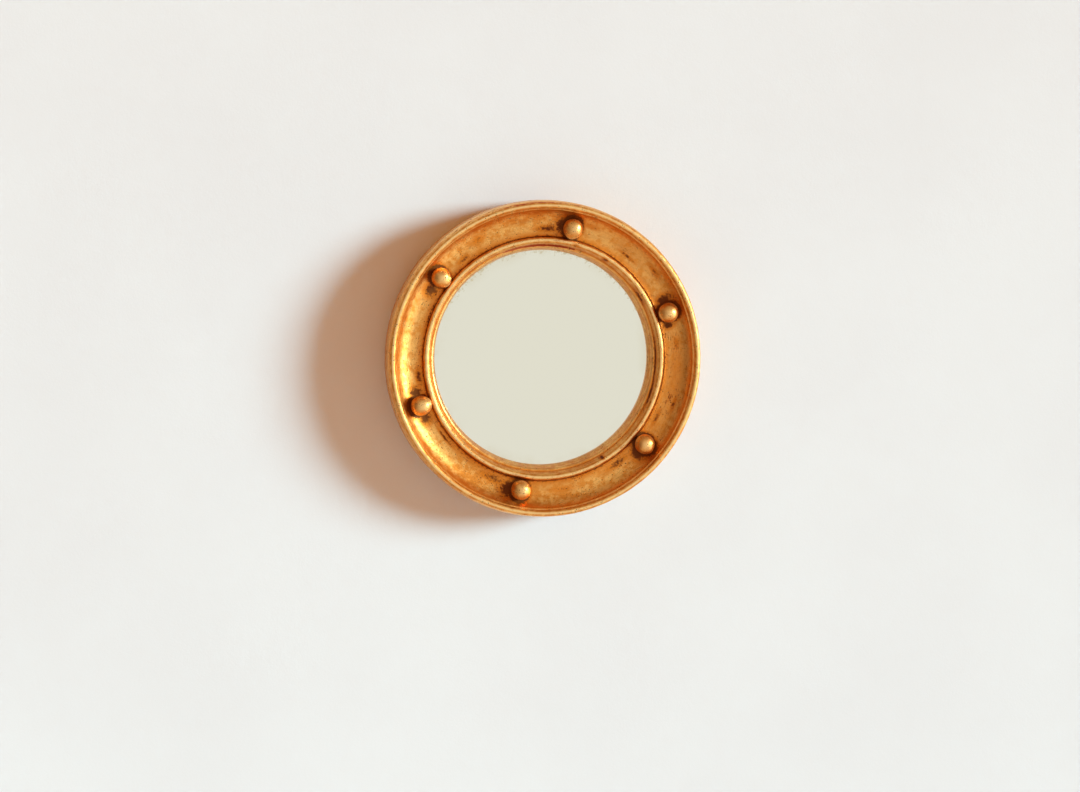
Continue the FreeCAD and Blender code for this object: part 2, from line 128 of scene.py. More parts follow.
class NodeSheet:
    """Places and joins the nodes of one shader tree."""

    def __init__(self, tree: Tree) -> None:
        """Start on a tree, emptied of the nodes it came with."""
        self.tree = tree
        tree.nodes.clear()

    def add(self, kind: str, inputs: dict | None = None, **settings) -> bpy.types.Node:
        """Place a node.

        Args:
            kind: the node's type, without its "ShaderNode" prefix.
            inputs: for each socket, by name or number, its constant or the socket that feeds it.
            settings: properties of the node itself.

        Returns:
            The new node.
        """
        name = kind if kind.startswith("NodeGroup") else f"ShaderNode{kind}"
        node = self.tree.nodes.new(name)
        for key, value in settings.items():
            setattr(node, key, value)
        for key, value in (inputs or {}).items():
            self.feed(node.inputs[key], value)
        return node

    def feed(self, socket: Socket, value) -> None:
        """Join value to a socket, or set it there where it is a constant."""
        if isinstance(value, Socket):
            self.tree.links.new(value, socket)
        else:
            socket.default_value = value

    def maths(self, operation: str, first, second=0.0, third=0.0, clamp: bool = False) -> Socket:
        """Result of a Math node on up to three numbers."""
        inputs = dict(enumerate((first, second, third)))
        return self.add("Math", inputs, operation=operation, use_clamp=clamp).outputs[0]

    def times(self, first, second) -> Socket:
        """Product of two numbers."""
        return self.maths("MULTIPLY", first, second)

    def less(self, first, second, clamp: bool = False) -> Socket:
        """First number less the second."""
        return self.maths("SUBTRACT", first, second, clamp=clamp)

    def most(self, first, second, clamp: bool = False) -> Socket:
        """Larger of two numbers."""
        return self.maths("MAXIMUM", first, second, clamp=clamp)

    def part(self, value, share, base, clamp: bool = False) -> Socket:
        """A share of a value, added to a base."""
        return self.maths("MULTIPLY_ADD", value, share, base, clamp)

    def ramp(self, value, low, high, bottom: float = 0.0, top: float = 1.0) -> Socket:
        """Smooth step of a value from low to high, as a number from bottom to top."""
        inputs = dict(enumerate((value, low, high, bottom, top)))
        return self.add("MapRange", inputs, interpolation_type="SMOOTHSTEP").outputs[0]

    def mix(self, amount, first, second) -> Socket:
        """Mix of two colours by an amount from 0 to 1."""
        inputs = {0: amount, 6: first, 7: second}
        return self.add("Mix", inputs, data_type="RGBA", clamp_factor=True).outputs[2]

    def layers(self, colour, *covers: tuple) -> Socket:
        """Lay colours over a first one.

        Args:
            colour: the first.
            covers: for each other one the value that it goes by, that value's step and itself.

        Returns:
            The colour that they make together.
        """
        for value, step, cover in covers:
            colour = self.mix(self.ramp(value, *step), colour, cover)
        return colour

    def noise(self, vector, ripples: Ripples) -> Socket:
        """Value of soft fractal noise, about 0 to 1."""
        inputs = dict(zip(("Scale", "Detail", "Roughness"), ripples))
        return self.add("TexNoise", {"Vector": vector, **inputs}).outputs[0]

    def stretch(self, vector, scale: Triple) -> Socket:
        """Coordinates scaled along each axis."""
        return self.add("Mapping", {"Vector": vector, "Scale": scale}).outputs[0]

    def mask(self, name: str) -> Socket:
        """Value of a mask that is kept on the mesh."""
        return self.add("Attribute", attribute_name=name).outputs["Fac"]

    def group(self, tree: Tree, *values) -> bpy.types.NodeOutputs:
        """Place a node group.

        Args:
            tree: the group.
            values: what its sockets get, in their order.

        Returns:
            The sockets that it puts out.
        """
        node = self.add("Group", node_tree=tree)
        for socket, value in zip(node.inputs, values):
            self.feed(socket, value)
        return node.outputs

    def bumps(self, *layers: tuple[Socket, float]) -> Socket:
        """Lay Bump nodes on each other.

        Args:
            layers: for each, its height from 0 to 1 and how far 1 stands up, in mm.

        Returns:
            The bumped normal.
        """
        inputs = {"Strength": 1.0}
        for height, rise in layers:
            inputs |= {"Height": height, "Distance": rise * MM}
            inputs["Normal"] = self.add("Bump", inputs).outputs[0]
        return inputs["Normal"]


def new_group(name: str, inputs: str, outputs: str) -> tuple:
    """Start a node group with named sockets.

    Args:
        name: the group's name.
        inputs, outputs: names of the sockets. Each is a number, apart from "Vector".

    Returns:
        The group, its sheet, its input node's sockets and its output node's sockets.
    """
    tree = bpy.data.node_groups.new(name, "ShaderNodeTree")
    for side, labels in (("INPUT", inputs), ("OUTPUT", outputs)):
        for label in labels.split():
            kind = "NodeSocketVector" if label == "Vector" else "NodeSocketFloat"
            tree.interface.new_socket(name=label, in_out=side, socket_type=kind)
    sheet = NodeSheet(tree)
    entry = sheet.add("NodeGroupInput")
    leave = sheet.add("NodeGroupOutput")
    return tree, sheet, entry.outputs, leave.inputs


def group_turned_place() -> Tree:
    """Group that gives a point's radius and height in mm and its direction round the axis."""
    tree, sheet, given, put = new_group("turned_place", "Vector", "Radius Height Right Up")
    right, back, up = sheet.add("SeparateXYZ", {0: given["Vector"]}).outputs
    radius = sheet.maths("SQRT", sheet.part(up, up, sheet.times(right, right)))
    safe = sheet.most(radius, TINY)
    sheet.feed(put["Radius"], sheet.times(radius, 1.0 / MM))
    sheet.feed(put["Height"], sheet.times(back, -1.0 / MM))
    sheet.feed(put["Right"], sheet.maths("DIVIDE", right, safe))
    sheet.feed(put["Up"], sheet.maths("DIVIDE", up, safe))
    return tree


def group_turned_lines(place: Tree) -> Tree:
    """Group for fine lines that run round the axis, as a lathe and burnishing leave them."""
    tree, sheet, given, put = new_group("turned_lines", "Vector Across Around", "Lines")
    at = sheet.group(place, given["Vector"])
    pairs = (("Right", "Around"), ("Radius", "Across"), ("Up", "Around"), ("Height", "Across"))
    *spot, rise = (sheet.times(at[side], given[pace]) for side, pace in pairs)
    line = sheet.add("CombineXYZ", dict(enumerate(spot))).outputs[0]
    noise = sheet.add(
        "TexNoise",
        {"Vector": line, "W": rise, "Scale": 1.0, "Detail": 2.0, "Roughness": 0.6},
        noise_dimensions="4D",
    )
    sheet.feed(put["Lines"], noise.outputs[0])
    return tree


def group_broken_mask() -> Tree:
    """Group that breaks a smooth mask up, as hand wear and dirt are never even."""
    tree, sheet, given, put = new_group(
        "broken_mask", "Vector Mask Amount Scale Breakup Edge", "Mask"
    )
    coarse = sheet.noise(given["Vector"], Ripples(given["Scale"], 5.0, 0.68))
    swing = sheet.times(sheet.less(coarse, 0.5), given["Breakup"])
    level = sheet.maths("ADD", sheet.times(given["Mask"], given["Amount"]), swing)
    low = sheet.less(0.5, given["Edge"])
    high = sheet.maths("ADD", 0.5, given["Edge"])
    sheet.feed(put["Mask"], sheet.ramp(level, low, high))
    return tree


def group_specks() -> Tree:
    """Group for small dark pits and flyspecks, thick in some places and rare in others."""
    tree, sheet, given, put = new_group("specks", "Vector Scale Share Size", "Mask")
    place = given["Vector"]
    shaken = sheet.add("TexNoise", {"Vector": place, "Scale": 900.0, "Detail": 2.0}).outputs[1]
    shift = sheet.add("VectorMath", {0: shaken, "Scale": 0.0012}, operation="SCALE").outputs[0]
    moved = sheet.add("VectorMath", {0: place, 1: shift}, operation="ADD").outputs[0]
    cells = sheet.add("TexVoronoi", {"Vector": moved, "Scale": given["Scale"]}).outputs
    chance, reach, _ = sheet.add("SeparateColor", {0: cells["Color"]}).outputs
    crowd = sheet.ramp(sheet.noise(place, Ripples(38.0, 2.0)), 0.38, 0.66)
    there = sheet.maths("LESS_THAN", chance, sheet.times(given["Share"], crowd))
    reach = sheet.times(given["Size"], sheet.part(reach, 0.7, 0.3))
    inside = sheet.less(1.0, sheet.maths("DIVIDE", cells["Distance"], reach))
    sheet.feed(put["Mask"], sheet.times(sheet.ramp(inside, 0.0, 0.55), there))
    return tree


class EffectShelf:
    """The shader effects that several finishes share, each a node group built once."""

    def __init__(self) -> None:
        """Build the groups."""
        self.turned_place = group_turned_place()
        self.broken_mask = group_broken_mask()
        self.specks = group_specks()
        self.turned_lines = group_turned_lines(self.turned_place)


def new_finish(name: str) -> tuple[Material, NodeSheet, Socket]:
    """Start a material.

    Args:
        name: the material's name.

    Returns:
        The material, its sheet and the object coordinates that its patterns read.
    """
    material = bpy.data.materials.new(name)
    material.use_nodes = True
    sheet = NodeSheet(material.node_tree)
    return material, sheet, sheet.add("TexCoord").outputs["Object"]


def close_finish(sheet: NodeSheet, inputs: dict) -> None:
    """End a material with a Principled shader that has these inputs."""
    shader = sheet.add("BsdfPrincipled", inputs)
    sheet.add("OutputMaterial", {"Surface": shader.outputs[0]})


# ---- finishes


class Finish:
    """How a material looks: a set of nodes that feeds one Principled shader."""

    def material(self, name: str, shelf: EffectShelf) -> Material:
        """Build the finish.

        Args:
            name: the material's name.
            shelf: the shared effects.

        Returns:
            The material.
        """
        material, sheet, place = new_finish(name)
        close_finish(sheet, self.paint(sheet, place, shelf))
        return material

    def paint(self, sheet: NodeSheet, place: Socket, shelf: EffectShelf) -> dict:
        """Lay the finish's nodes.

        Args:
            sheet: the material's sheet.
            place: the object coordinates that the patterns read.
            shelf: the shared effects.

        Returns:
            The inputs of the Principled shader.
        """
        raise NotImplementedError


@dataclass(frozen=True)
class Gilding(Finish):
    """Leaf over red bole and gesso, rubbed on its ridges, which also take a painted highlight,
    and dirty in its hollows, which also take painted shade.

    It reads three attributes of a piece's mesh: worn places with painted highlight on ridges,
    soiling with painted shade in hollows and bare, where the leaf has gone down to the bole.
    """

    leaf_light: Colour = tone(250, 190, 108)
    leaf_deep: Colour = tone(230, 146, 60)
    # pale cream gold laid where ridges and ball crowns are most worn: a painted highlight
    painted_highlight: Colour = tone(255, 216, 152)
    bole: Colour = tone(172, 70, 32)
    gesso: Colour = tone(194, 132, 88)
    # dark brown of dirty specks, and of a dark layer that also paints shade into creases and round
    # the balls
    dirt_and_shade: Colour = tone(88, 42, 14)
    patina: Colour = tone(172, 90, 28)
    # orange of a toning layer: mottled at random, and strongest in hollows, where it is painted
    # shade and a painted reflection of gold on gold
    film_and_reflection: Colour = tone(216, 120, 18)

    cloud: Ripples = Ripples(26.0, 4.0)
    mottle: Ripples = Ripples(230.0, 5.0, 0.66)
    grain: Ripples = Ripples(1150.0, 3.0, 0.6)
    crowd: Ripples = Ripples(75.0, 2.0)  # where the flecks are thick
    lines: Turning = Turning(1.9, 2.6)
    streaks: Turning = Turning(0.42, 9.0)
    dashes: Turning = Turning(1.5, 42.0)
    rubbing: Breaking = Breaking(0.5, 300.0, 1.0, 0.14)
    baring: Breaking = Breaking(0.75, 420.0, 1.2, 0.16)
    # breaks up the dark layer of soiling and painted shade
    crust_and_shade_breaking: Breaking = Breaking(0.72, 520.0, 1.7, 0.24)
    pits: Speckle = Speckle(760.0, 0.75, 0.4)

    shade_step: Step = Step(0.42, 0.58)
    streak_step: Step = Step(0.44, 0.70)
    line_step: Step = Step(0.54, 0.74, 0.0, 0.3)
    grain_step: Step = Step(0.52, 0.68, 0.0, 0.4)
    # where the painted highlight comes in on the ridges
    highlight_step: Step = Step(0.25, 0.75, 0.0, 0.8)
    film_and_reflection_step: Step = Step(0.08, 0.7)
    fleck_step: Step = Step(0.83, 0.95)
    crowd_step: Step = Step(0.42, 0.66, 0.15, 1.0)
    gesso_step: Step = Step(0.42, 0.6)

    # how far each pattern stands up, in mm
    line_rise: float = 0.05
    mottle_rise: float = 0.14
    grain_rise: float = 0.035
    pit_rise: float = 0.12

    def paint(self, sheet: NodeSheet, place: Socket, shelf: EffectShelf) -> dict:
        """Lay leaf with a painted highlight on ridges, rubbing down to bole and gesso, then
        orange toning, a dark layer and dirty specks; in hollows the toning and the dark layer
        also paint shade and the reflection of gold on gold.
        """
        wear, grime, bare = (sheet.mask(name) for name in ("wear", "grime", "bare"))
        cloud = sheet.noise(place, self.cloud)
        mottle = sheet.noise(place, self.mottle)
        grain = sheet.noise(place, self.grain)
        lines, streaks, dashes = (
            sheet.group(shelf.turned_lines, place, *turning)[0]
            for turning in (self.lines, self.streaks, self.dashes)
        )

        shade = sheet.part(mottle, 0.7, sheet.times(cloud, 0.3))
        leaf = sheet.layers(self.leaf_deep, (shade, self.shade_step, self.leaf_light))
        glaze = sheet.times(sheet.ramp(streaks, *self.streak_step), 0.3)
        glaze = sheet.most(glaze, sheet.ramp(lines, *self.line_step))
        glaze = sheet.most(glaze, sheet.ramp(grain, *self.grain_step))
        leaf = sheet.mix(glaze, leaf, self.patina)
        # painted highlight: pale gold on ridges and ball crowns, where they are most worn
        leaf = sheet.layers(leaf, (wear, self.highlight_step, self.painted_highlight))

        worn = sheet.group(shelf.broken_mask, place, wear, *self.rubbing)[0]
        down = sheet.group(shelf.broken_mask, place, bare, *self.baring)[0]
        # orange toning: mottled at random, and laid into the hollows as painted shade and a painted
        # reflection of gold on gold
        film_and_reflection = sheet.ramp(sheet.part(sheet.less(mottle, 0.5), 1.1, grime), *self.film_and_reflection_step)
        # dark layer in hollows and round the balls: soiling and painted shade
        deep_grime_and_shade = sheet.times(grime, grime)
        crust_and_shade = sheet.group(shelf.broken_mask, place, deep_grime_and_shade, *self.crust_and_shade_breaking)[0]
        flecks = sheet.ramp(sheet.part(mottle, 0.5, dashes), *self.fleck_step)
        crowd = sheet.ramp(sheet.noise(place, self.crowd), *self.crowd_step)
        flecks = sheet.times(sheet.times(flecks, crowd), 0.8)
        specks = sheet.most(sheet.group(shelf.specks, place, *self.pits)[0], flecks)

        rubbed = sheet.most(sheet.times(worn, 0.6), down)
        pale = sheet.part(down, -0.8, sheet.ramp(cloud, *self.gesso_step), clamp=True)
        colour = sheet.mix(rubbed, leaf, sheet.mix(pale, self.bole, self.gesso))
        for cover, share, stain in (
            (film_and_reflection, 0.8, self.film_and_reflection), (crust_and_shade, 0.88, self.dirt_and_shade), (specks, 0.85, self.dirt_and_shade)
        ):
            colour = sheet.mix(sheet.times(cover, share), colour, stain)

        covered = sheet.most(sheet.times(crust_and_shade, 0.8), specks)
        covered = sheet.most(covered, sheet.times(film_and_reflection, 0.2))
        lost = sheet.most(rubbed, covered, clamp=True)
        rough = sheet.part(mottle, 0.32, 0.22)
        return {
            "Base Color": colour,
            "Metallic": sheet.less(1.0, sheet.times(lost, 0.9), clamp=True),
            "Roughness": sheet.part(lost, 0.28, rough, clamp=True),
            "Coat Weight": sheet.times(sheet.less(1.0, lost, clamp=True), 0.12),
            "Coat Roughness": 0.24,
            "Specular IOR Level": 0.2,
            "Normal": sheet.bumps(
                (lines, self.line_rise),
                (mottle, self.mottle_rise),
                (grain, self.grain_rise),
                (sheet.less(1.0, specks), self.pit_rise),
            ),
        }


@dataclass(frozen=True)
class BareBackWood(Finish):
    """Back of the moulding: pine, washed with thin ochre that has browned."""

    light: Colour = tone(196, 152, 98)
    dark: Colour = tone(146, 102, 60)
    wash: Colour = tone(184, 132, 62)
    lines: Turning = Turning(3.0, 1.6)
    grain: Ripples = Ripples(620.0, 5.0, 0.6)
    cloud: Ripples = Ripples(30.0)

    def paint(self, sheet: NodeSheet, place: Socket, shelf: EffectShelf) -> dict:
        """Lay upright grain, a cloudy wash and the marks of turning."""
        lines = sheet.group(shelf.turned_lines, place, *self.lines)[0]
        grain = sheet.noise(sheet.stretch(place, (1.0, 1.0, 0.07)), self.grain)
        cloud = sheet.noise(place, self.cloud)
        return {
            "Base Color": sheet.layers(
                self.dark,
                (grain, Step(0.38, 0.62), self.light),
                (cloud, Step(0.42, 0.64, 0.15, 0.75), self.wash),
                (lines, Step(0.55, 0.75, 0.0, 0.3), self.dark),
            ),
            "Roughness": sheet.part(grain, 0.2, 0.62),
            "Normal": sheet.bumps((grain, 0.08), (lines, 0.06)),
        }


@dataclass(frozen=True)
class SilveredGlass(Finish):
    """Domed glass, silvered on its back, with a few pale brown flecks near its edge."""

    silver: Colour = tone(247, 248, 239)
    haze: Colour = tone(232, 226, 205)
    fleck: Colour = tone(200, 180, 122)
    cloud: Ripples = Ripples(45.0, 4.0)
    foxing: Breaking = Breaking(0.5, 420.0, 1.1, 0.12)
    margin_step: Step = Step(64.7, 74.7)  # of the radius
    upper_step: Step = Step(-0.2, 0.75)  # of how far up a place lies
    veil_step: Step = Step(0.42, 0.7)

    def paint(self, sheet: NodeSheet, place: Socket, shelf: EffectShelf) -> dict:
        """Lay a thin veil along the margin and foxing along its upper part."""
        at = sheet.group(shelf.turned_place, place)
        margin = sheet.ramp(at["Radius"], *self.margin_step)
        upper = sheet.ramp(at["Up"], *self.upper_step)
        veil = sheet.times(sheet.ramp(sheet.noise(place, self.cloud), *self.veil_step), margin)
        foxed = sheet.times(margin, upper)
        foxing = sheet.group(shelf.broken_mask, place, foxed, *self.foxing)[0]
        colour = sheet.mix(sheet.times(veil, 0.5), self.silver, self.haze)
        rough = sheet.part(foxing, 0.25, 0.03)
        return {
            "Base Color": sheet.mix(sheet.times(foxing, 0.55), colour, self.fleck),
            "Metallic": 1.0,
            "Roughness": sheet.part(veil, 0.05, rough),
            "Coat Weight": 0.35,
            "Coat Roughness": 0.02,
        }


@dataclass(frozen=True)
class AgedPlywood(Finish):
    """Thin birch ply of the backboard, browned, with long grain and a few stains."""

    light: Colour = tone(206, 170, 122)
    dark: Colour = tone(160, 118, 74)
    stain: Colour = tone(112, 78, 48)
    sway: Ripples = Ripples(14.0, 2.0)
    grain: Ripples = Ripples(520.0, 6.0, 0.64)
    pores: Ripples = Ripples(2100.0, 3.0, 0.6)
    cloud: Ripples = Ripples(26.0, 4.0)

    def paint(self, sheet: NodeSheet, place: Socket, shelf: EffectShelf) -> dict:
        """Lay upright grain that sways, then stains and pores."""
        upright = sheet.stretch(place, (1.0, 3.0, 0.06))
        sway = sheet.times(sheet.noise(place, self.sway), 0.012)
        aside = sheet.add("CombineXYZ", {0: sway}).outputs[0]
        swayed = sheet.add("VectorMath", {0: upright, 1: aside}, operation="ADD").outputs[0]
        grain = sheet.noise(swayed, self.grain)
        pores = sheet.noise(upright, self.pores)
        cloud = sheet.noise(place, self.cloud)
        return {
            "Base Color": sheet.layers(
                self.dark,
                (grain, Step(0.36, 0.64), self.light),
                (cloud, Step(0.52, 0.74, 0.0, 0.55), self.stain),
                (pores, Step(0.6, 0.72, 0.0, 0.45), self.stain),
            ),
            "Roughness": sheet.part(grain, 0.22, 0.55),
            "Normal": sheet.bumps((grain, 0.08), (pores, 0.05)),
        }


@dataclass(frozen=True)
class SmallMetal(Finish):
    """Metal of the fittings on the back, dulled and stained by age."""

    bright: Colour
    dull: Colour
    stain: Colour
    rough: float = 0.34
    cloud: Ripples = Ripples(420.0, 4.0)
    scratches: Ripples = Ripples(5200.0, 3.0, 0.6)
    spots: Speckle = Speckle(1100.0, 0.6, 0.5)

    def paint(self, sheet: NodeSheet, place: Socket, shelf: EffectShelf) -> dict:
        """Lay cloudy metal with brush marks and stained spots."""
        cloud = sheet.noise(place, self.cloud)
        scratches = sheet.noise(sheet.stretch(place, (0.12, 1.0, 1.0)), self.scratches)
        spots = sheet.group(shelf.specks, place, *self.spots)[0]
        colour = sheet.layers(self.bright, (cloud, Step(0.36, 0.66), self.dull))
        rough = sheet.part(cloud, 0.25, self.rough - 0.1)
        return {
            "Base Color": sheet.mix(sheet.times(spots, 0.75), colour, self.stain),
            "Metallic": sheet.less(1.0, sheet.times(spots, 0.6)),
            "Roughness": sheet.part(spots, 0.25, rough),
            "Normal": sheet.bumps((scratches, 0.012)),
        }


@dataclass(frozen=True)
class PressedFelt(Finish):
    """Grey-brown felt of the packing, with a short tangled nap."""

    light: Colour = tone(134, 124, 110)
    dark: Colour = tone(84, 76, 68)
    nap: Ripples = Ripples(2600.0, 4.0, 0.7)
    cloud: Ripples = Ripples(180.0)

    def paint(self, sheet: NodeSheet, place: Socket, shelf: EffectShelf) -> dict:
        """Lay the nap over soft clouds."""
        nap = sheet.noise(place, self.nap)
        mixed = sheet.part(nap, 0.7, sheet.times(sheet.noise(place, self.cloud), 0.3))
        return {
            "Base Color": sheet.layers(self.dark, (mixed, Step(0.35, 0.65), self.light)),
            "Roughness": sheet.part(nap, 0.1, 0.88),
            "Normal": sheet.bumps((nap, 0.15)),
        }


@dataclass(frozen=True)
class TurnedBeech(Finish):
    """Beech of the dowels, with short flecks along the grain."""

    light: Colour = tone(214, 176, 130)
    dark: Colour = tone(172, 126, 84)
    grain: Ripples = Ripples(2400.0, 4.0, 0.6)

    def paint(self, sheet: NodeSheet, place: Socket, shelf: EffectShelf) -> dict:
        """Lay grain that runs forward."""
        grain = sheet.noise(sheet.stretch(place, (1.0, 0.12, 1.0)), self.grain)
        return {
            "Base Color": sheet.layers(self.dark, (grain, Step(0.4, 0.62), self.light)),
            "Roughness": sheet.part(grain, 0.15, 0.55),
            "Normal": sheet.bumps((grain, 0.03)),
        }


# ---- drawing a piece


def make_active(piece: Object) -> None:
    """Select one object alone and make it the active one."""
    bpy.ops.object.select_all(action="DESELECT")
    piece.select_set(True)
    bpy.context.view_layer.objects.active = piece


def edit_mesh(start: bool) -> None:
    """Start or end the editing of the active object's mesh."""
    bpy.ops.object.mode_set(mode="EDIT" if start else "OBJECT")


def weld() -> None:
    """Select the whole mesh that is being edited and merge its doubled points."""
    bpy.ops.mesh.select_all(action="SELECT")
    bpy.ops.mesh.remove_doubles(threshold=TINY)


def apply_modifier(piece: Object, name: str, kind: str, **settings) -> None:
    """Change a piece for good by a modifier with these settings."""
    make_active(piece)
    modifier = piece.modifiers.new(name, kind)
    for key, value in settings.items():
        setattr(modifier, key, value)
    bpy.ops.object.modifier_apply(modifier=modifier.name)


class Bend(Enum):
    """Which way an arc of a section bulges, with the solid on the pen's left."""

    ROUND = 1
    HOLLOW = -1


class LathePen:
    """Draws half of a section with extrude and spin, then turns it round the mirror's axis."""

    def __init__(self, name: str, radius: float, height: float) -> None:
        """Put the pen down.

        Args:
            name: name of the piece.
            radius, height: where its section begins.
        """
        bpy.ops.mesh.primitive_plane_add(size=MM, location=self.point(radius, height))
        bpy.ops.object.transform_apply(location=True)
        self.piece = bpy.context.object
        self.piece.name = self.piece.data.name = name
        self.here = (radius, height)
        edit_mesh(True)
        bpy.ops.mesh.select_all(action="SELECT")
        bpy.ops.mesh.merge(type="CENTER")

    @staticmethod
    def point(radius: float, height: float) -> Vector:
        """Place of a section's point in the model."""
        return Vector((radius, -height, 0.0)) * MM

    def line(self, radius: float, height: float, parts: int = 1) -> None:
        """Draw a straight side to a radius and height, in so many parts."""
        step = (self.point(radius, height) - self.point(*self.here)) / parts
        for _ in range(parts):
            bpy.ops.mesh.extrude_region_move(TRANSFORM_OT_translate={"value": step})
        self.here = (radius, height)

    def arc(self, radius: float, height: float, curve: float, bend: Bend, parts: int) -> None:
        """Draw an arc.

        Args:
            radius, height: where it ends.
            curve: its own radius.
            bend: which way it bulges.
            parts: how many straight parts it has.
        """
        start, finish = Vector(self.here), Vector((radius, height))
        chord = finish - start
        left = Vector((-chord.y, chord.x)).normalized()
        apothem = math.sqrt(max(curve**2 - (chord.length / 2) ** 2, 0.0))
        centre = (start + finish) / 2 + left * apothem * bend.value
        swept = 2 * math.asin(min(chord.length / 2 / curve, 1.0)) * bend.value
        bpy.ops.mesh.spin(
            steps=parts, angle=swept, center=self.point(*centre), axis=(0.0, 0.0, 1.0)
        )
        self.here = (radius, height)

    def soften(self, corners: Sequence[Spot], width: float) -> None:
        """Round corners of the closed section, as gesso does.

        Args:
            corners: the radius and height of each.
            width: how far from the corner the rounding begins.
        """
        weld()
        bpy.ops.mesh.select_all(action="DESELECT")
        sketch = bmesh.from_edit_mesh(self.piece.data)
        for radius, height in corners:
            corner = self.point(radius, height)
            min(sketch.verts, key=lambda vertex: (vertex.co - corner).length).select_set(True)
        bmesh.update_edit_mesh(self.piece.data)
        bpy.ops.mesh.bevel(offset=width * MM, segments=3, affect="VERTICES")

    def turn(self, steps: int) -> Object:
        """Close the section and turn it into a ring.

        Args:
            steps: how many faces the ring has round it.

        Returns:
            The ring, with its faces pointing outwards.
        """
        weld()
        edit_mesh(False)
        apply_modifier(
            self.piece, "lathe", "SCREW", axis="Y", steps=steps, render_steps=steps,
            use_merge_vertices=True, merge_threshold=TINY,
        )
        edit_mesh(True)
        weld()
        bpy.ops.mesh.normals_make_consistent(inside=False)
        edit_mesh(False)
        return self.piece


@dataclass
class Places:
    """Where the points of a mesh are, as arrays: radius and height in mm, clock in degrees."""

    spots: np.ndarray
    radius: np.ndarray
    height: np.ndarray
    clock: np.ndarray

    @classmethod
    def of(cls, piece: Object) -> "Places":
        """Read them from a piece."""
        flat = np.empty(len(piece.data.vertices) * 3)
        piece.data.vertices.foreach_get("co", flat)
        spots = flat.reshape(-1, 3) / MM
        radius = np.hypot(spots[:, 0], spots[:, 2])
        clock = np.degrees(np.arctan2(spots[:, 0], spots[:, 2])) % 360.0
        return cls(spots, radius, -spots[:, 1], clock)

    def bands(self, *rings: tuple[float, float, float, float]) -> np.ndarray:
        """Sum of soft masks along circles.

        Args:
            rings: for each, its strength, the circle's radius and height, and its spread.

        Returns:
            How much of them each point of the mesh has.
        """
        total = 0.0
        for strength, radius, height, spread in rings:
            away = np.hypot(self.radius - radius, self.height - height)
            total = total + strength * np.exp(-((away / spread) ** 2))
        return total

    def from_point(self, point: Sequence[float]) -> np.ndarray:
        """Distance of every point of the mesh from a point in mm."""
        return np.linalg.norm(self.spots - np.asarray(point), axis=1)


@dataclass(frozen=True)
class Smudge:
    """A patch that someone left on the front: soiling or rubbing; in the cove some also paint a
    ball's shadow.
    """

    clock: float
    radius: float
    along: float  # half its length round the ring, in mm
    across: float
    strength: float

    def mask(self, places: Places) -> np.ndarray:
        """How much of the patch each point of a mesh has."""
        turn = (places.clock - self.clock + 180.0) % 360.0 - 180.0
        along = np.radians(turn) * self.radius / self.along
        across = (places.radius - self.radius) / self.across
        return self.strength * np.exp(-(along**2 + across**2))


def smudges(*rows: tuple[float, ...]) -> tuple[Smudge, ...]:
    """Patches from rows of clock, radius, half length, half width and strength."""
    return tuple(Smudge(*row) for row in rows)


def write_masks(piece: Object, **masks: np.ndarray) -> None:
    """Keep masks on a mesh, for its material to read."""
    for name, values in masks.items():
        attribute = piece.data.attributes.new(name, "FLOAT", "POINT")
        attribute.data.foreach_set("value", np.clip(values, 0.0, 2.0).astype(np.float32))


def write_weights(piece: Object, name: str, values: np.ndarray) -> None:
    """Keep a mask on a piece as a vertex group, for its modifiers to read."""
    group = piece.vertex_groups.new(name=name)
    for index in np.nonzero(values > 0.003)[0]:
        group.add([int(index)], float(min(values[index], 1.0)), "REPLACE")


class Lumps(NamedTuple):
    """Soft random hollows in a surface."""

    ripple: float  # size of one in mm
    depth: float  # of the deepest, in mm


def uneven(piece: Object, name: str, lumps: Lumps, group: str) -> None:
    """Press hollows into a piece, never past its first surface.

    Args:
        piece: the piece.
        name: name of the pattern.
        lumps: the hollows.
        group: the vertex group that they lie on, or "" for all of the piece.
    """
    pattern = bpy.data.textures.new(name, "CLOUDS")
    pattern.noise_scale = lumps.ripple * MM
    pattern.noise_depth = 2
    apply_modifier(
        piece, name, "DISPLACE", texture=pattern, texture_coords="LOCAL",
        strength=lumps.depth * MM, mid_level=1.0, vertex_group=group,
    )


def finish_piece(piece: Object, body: str, nodes: Sequence[str]) -> None:
    """Smooth a piece, give it its body, hide the CAD nodes that it stands for, and report it."""
    make_active(piece)
    bpy.ops.object.shade_smooth_by_angle(angle=math.radians(SMOOTH_ANGLE))
    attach(piece, body)
    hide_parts(*nodes)
    LOG.info("%s: %d faces on %s", piece.name, len(piece.data.polygons), body)


# ---- the pieces


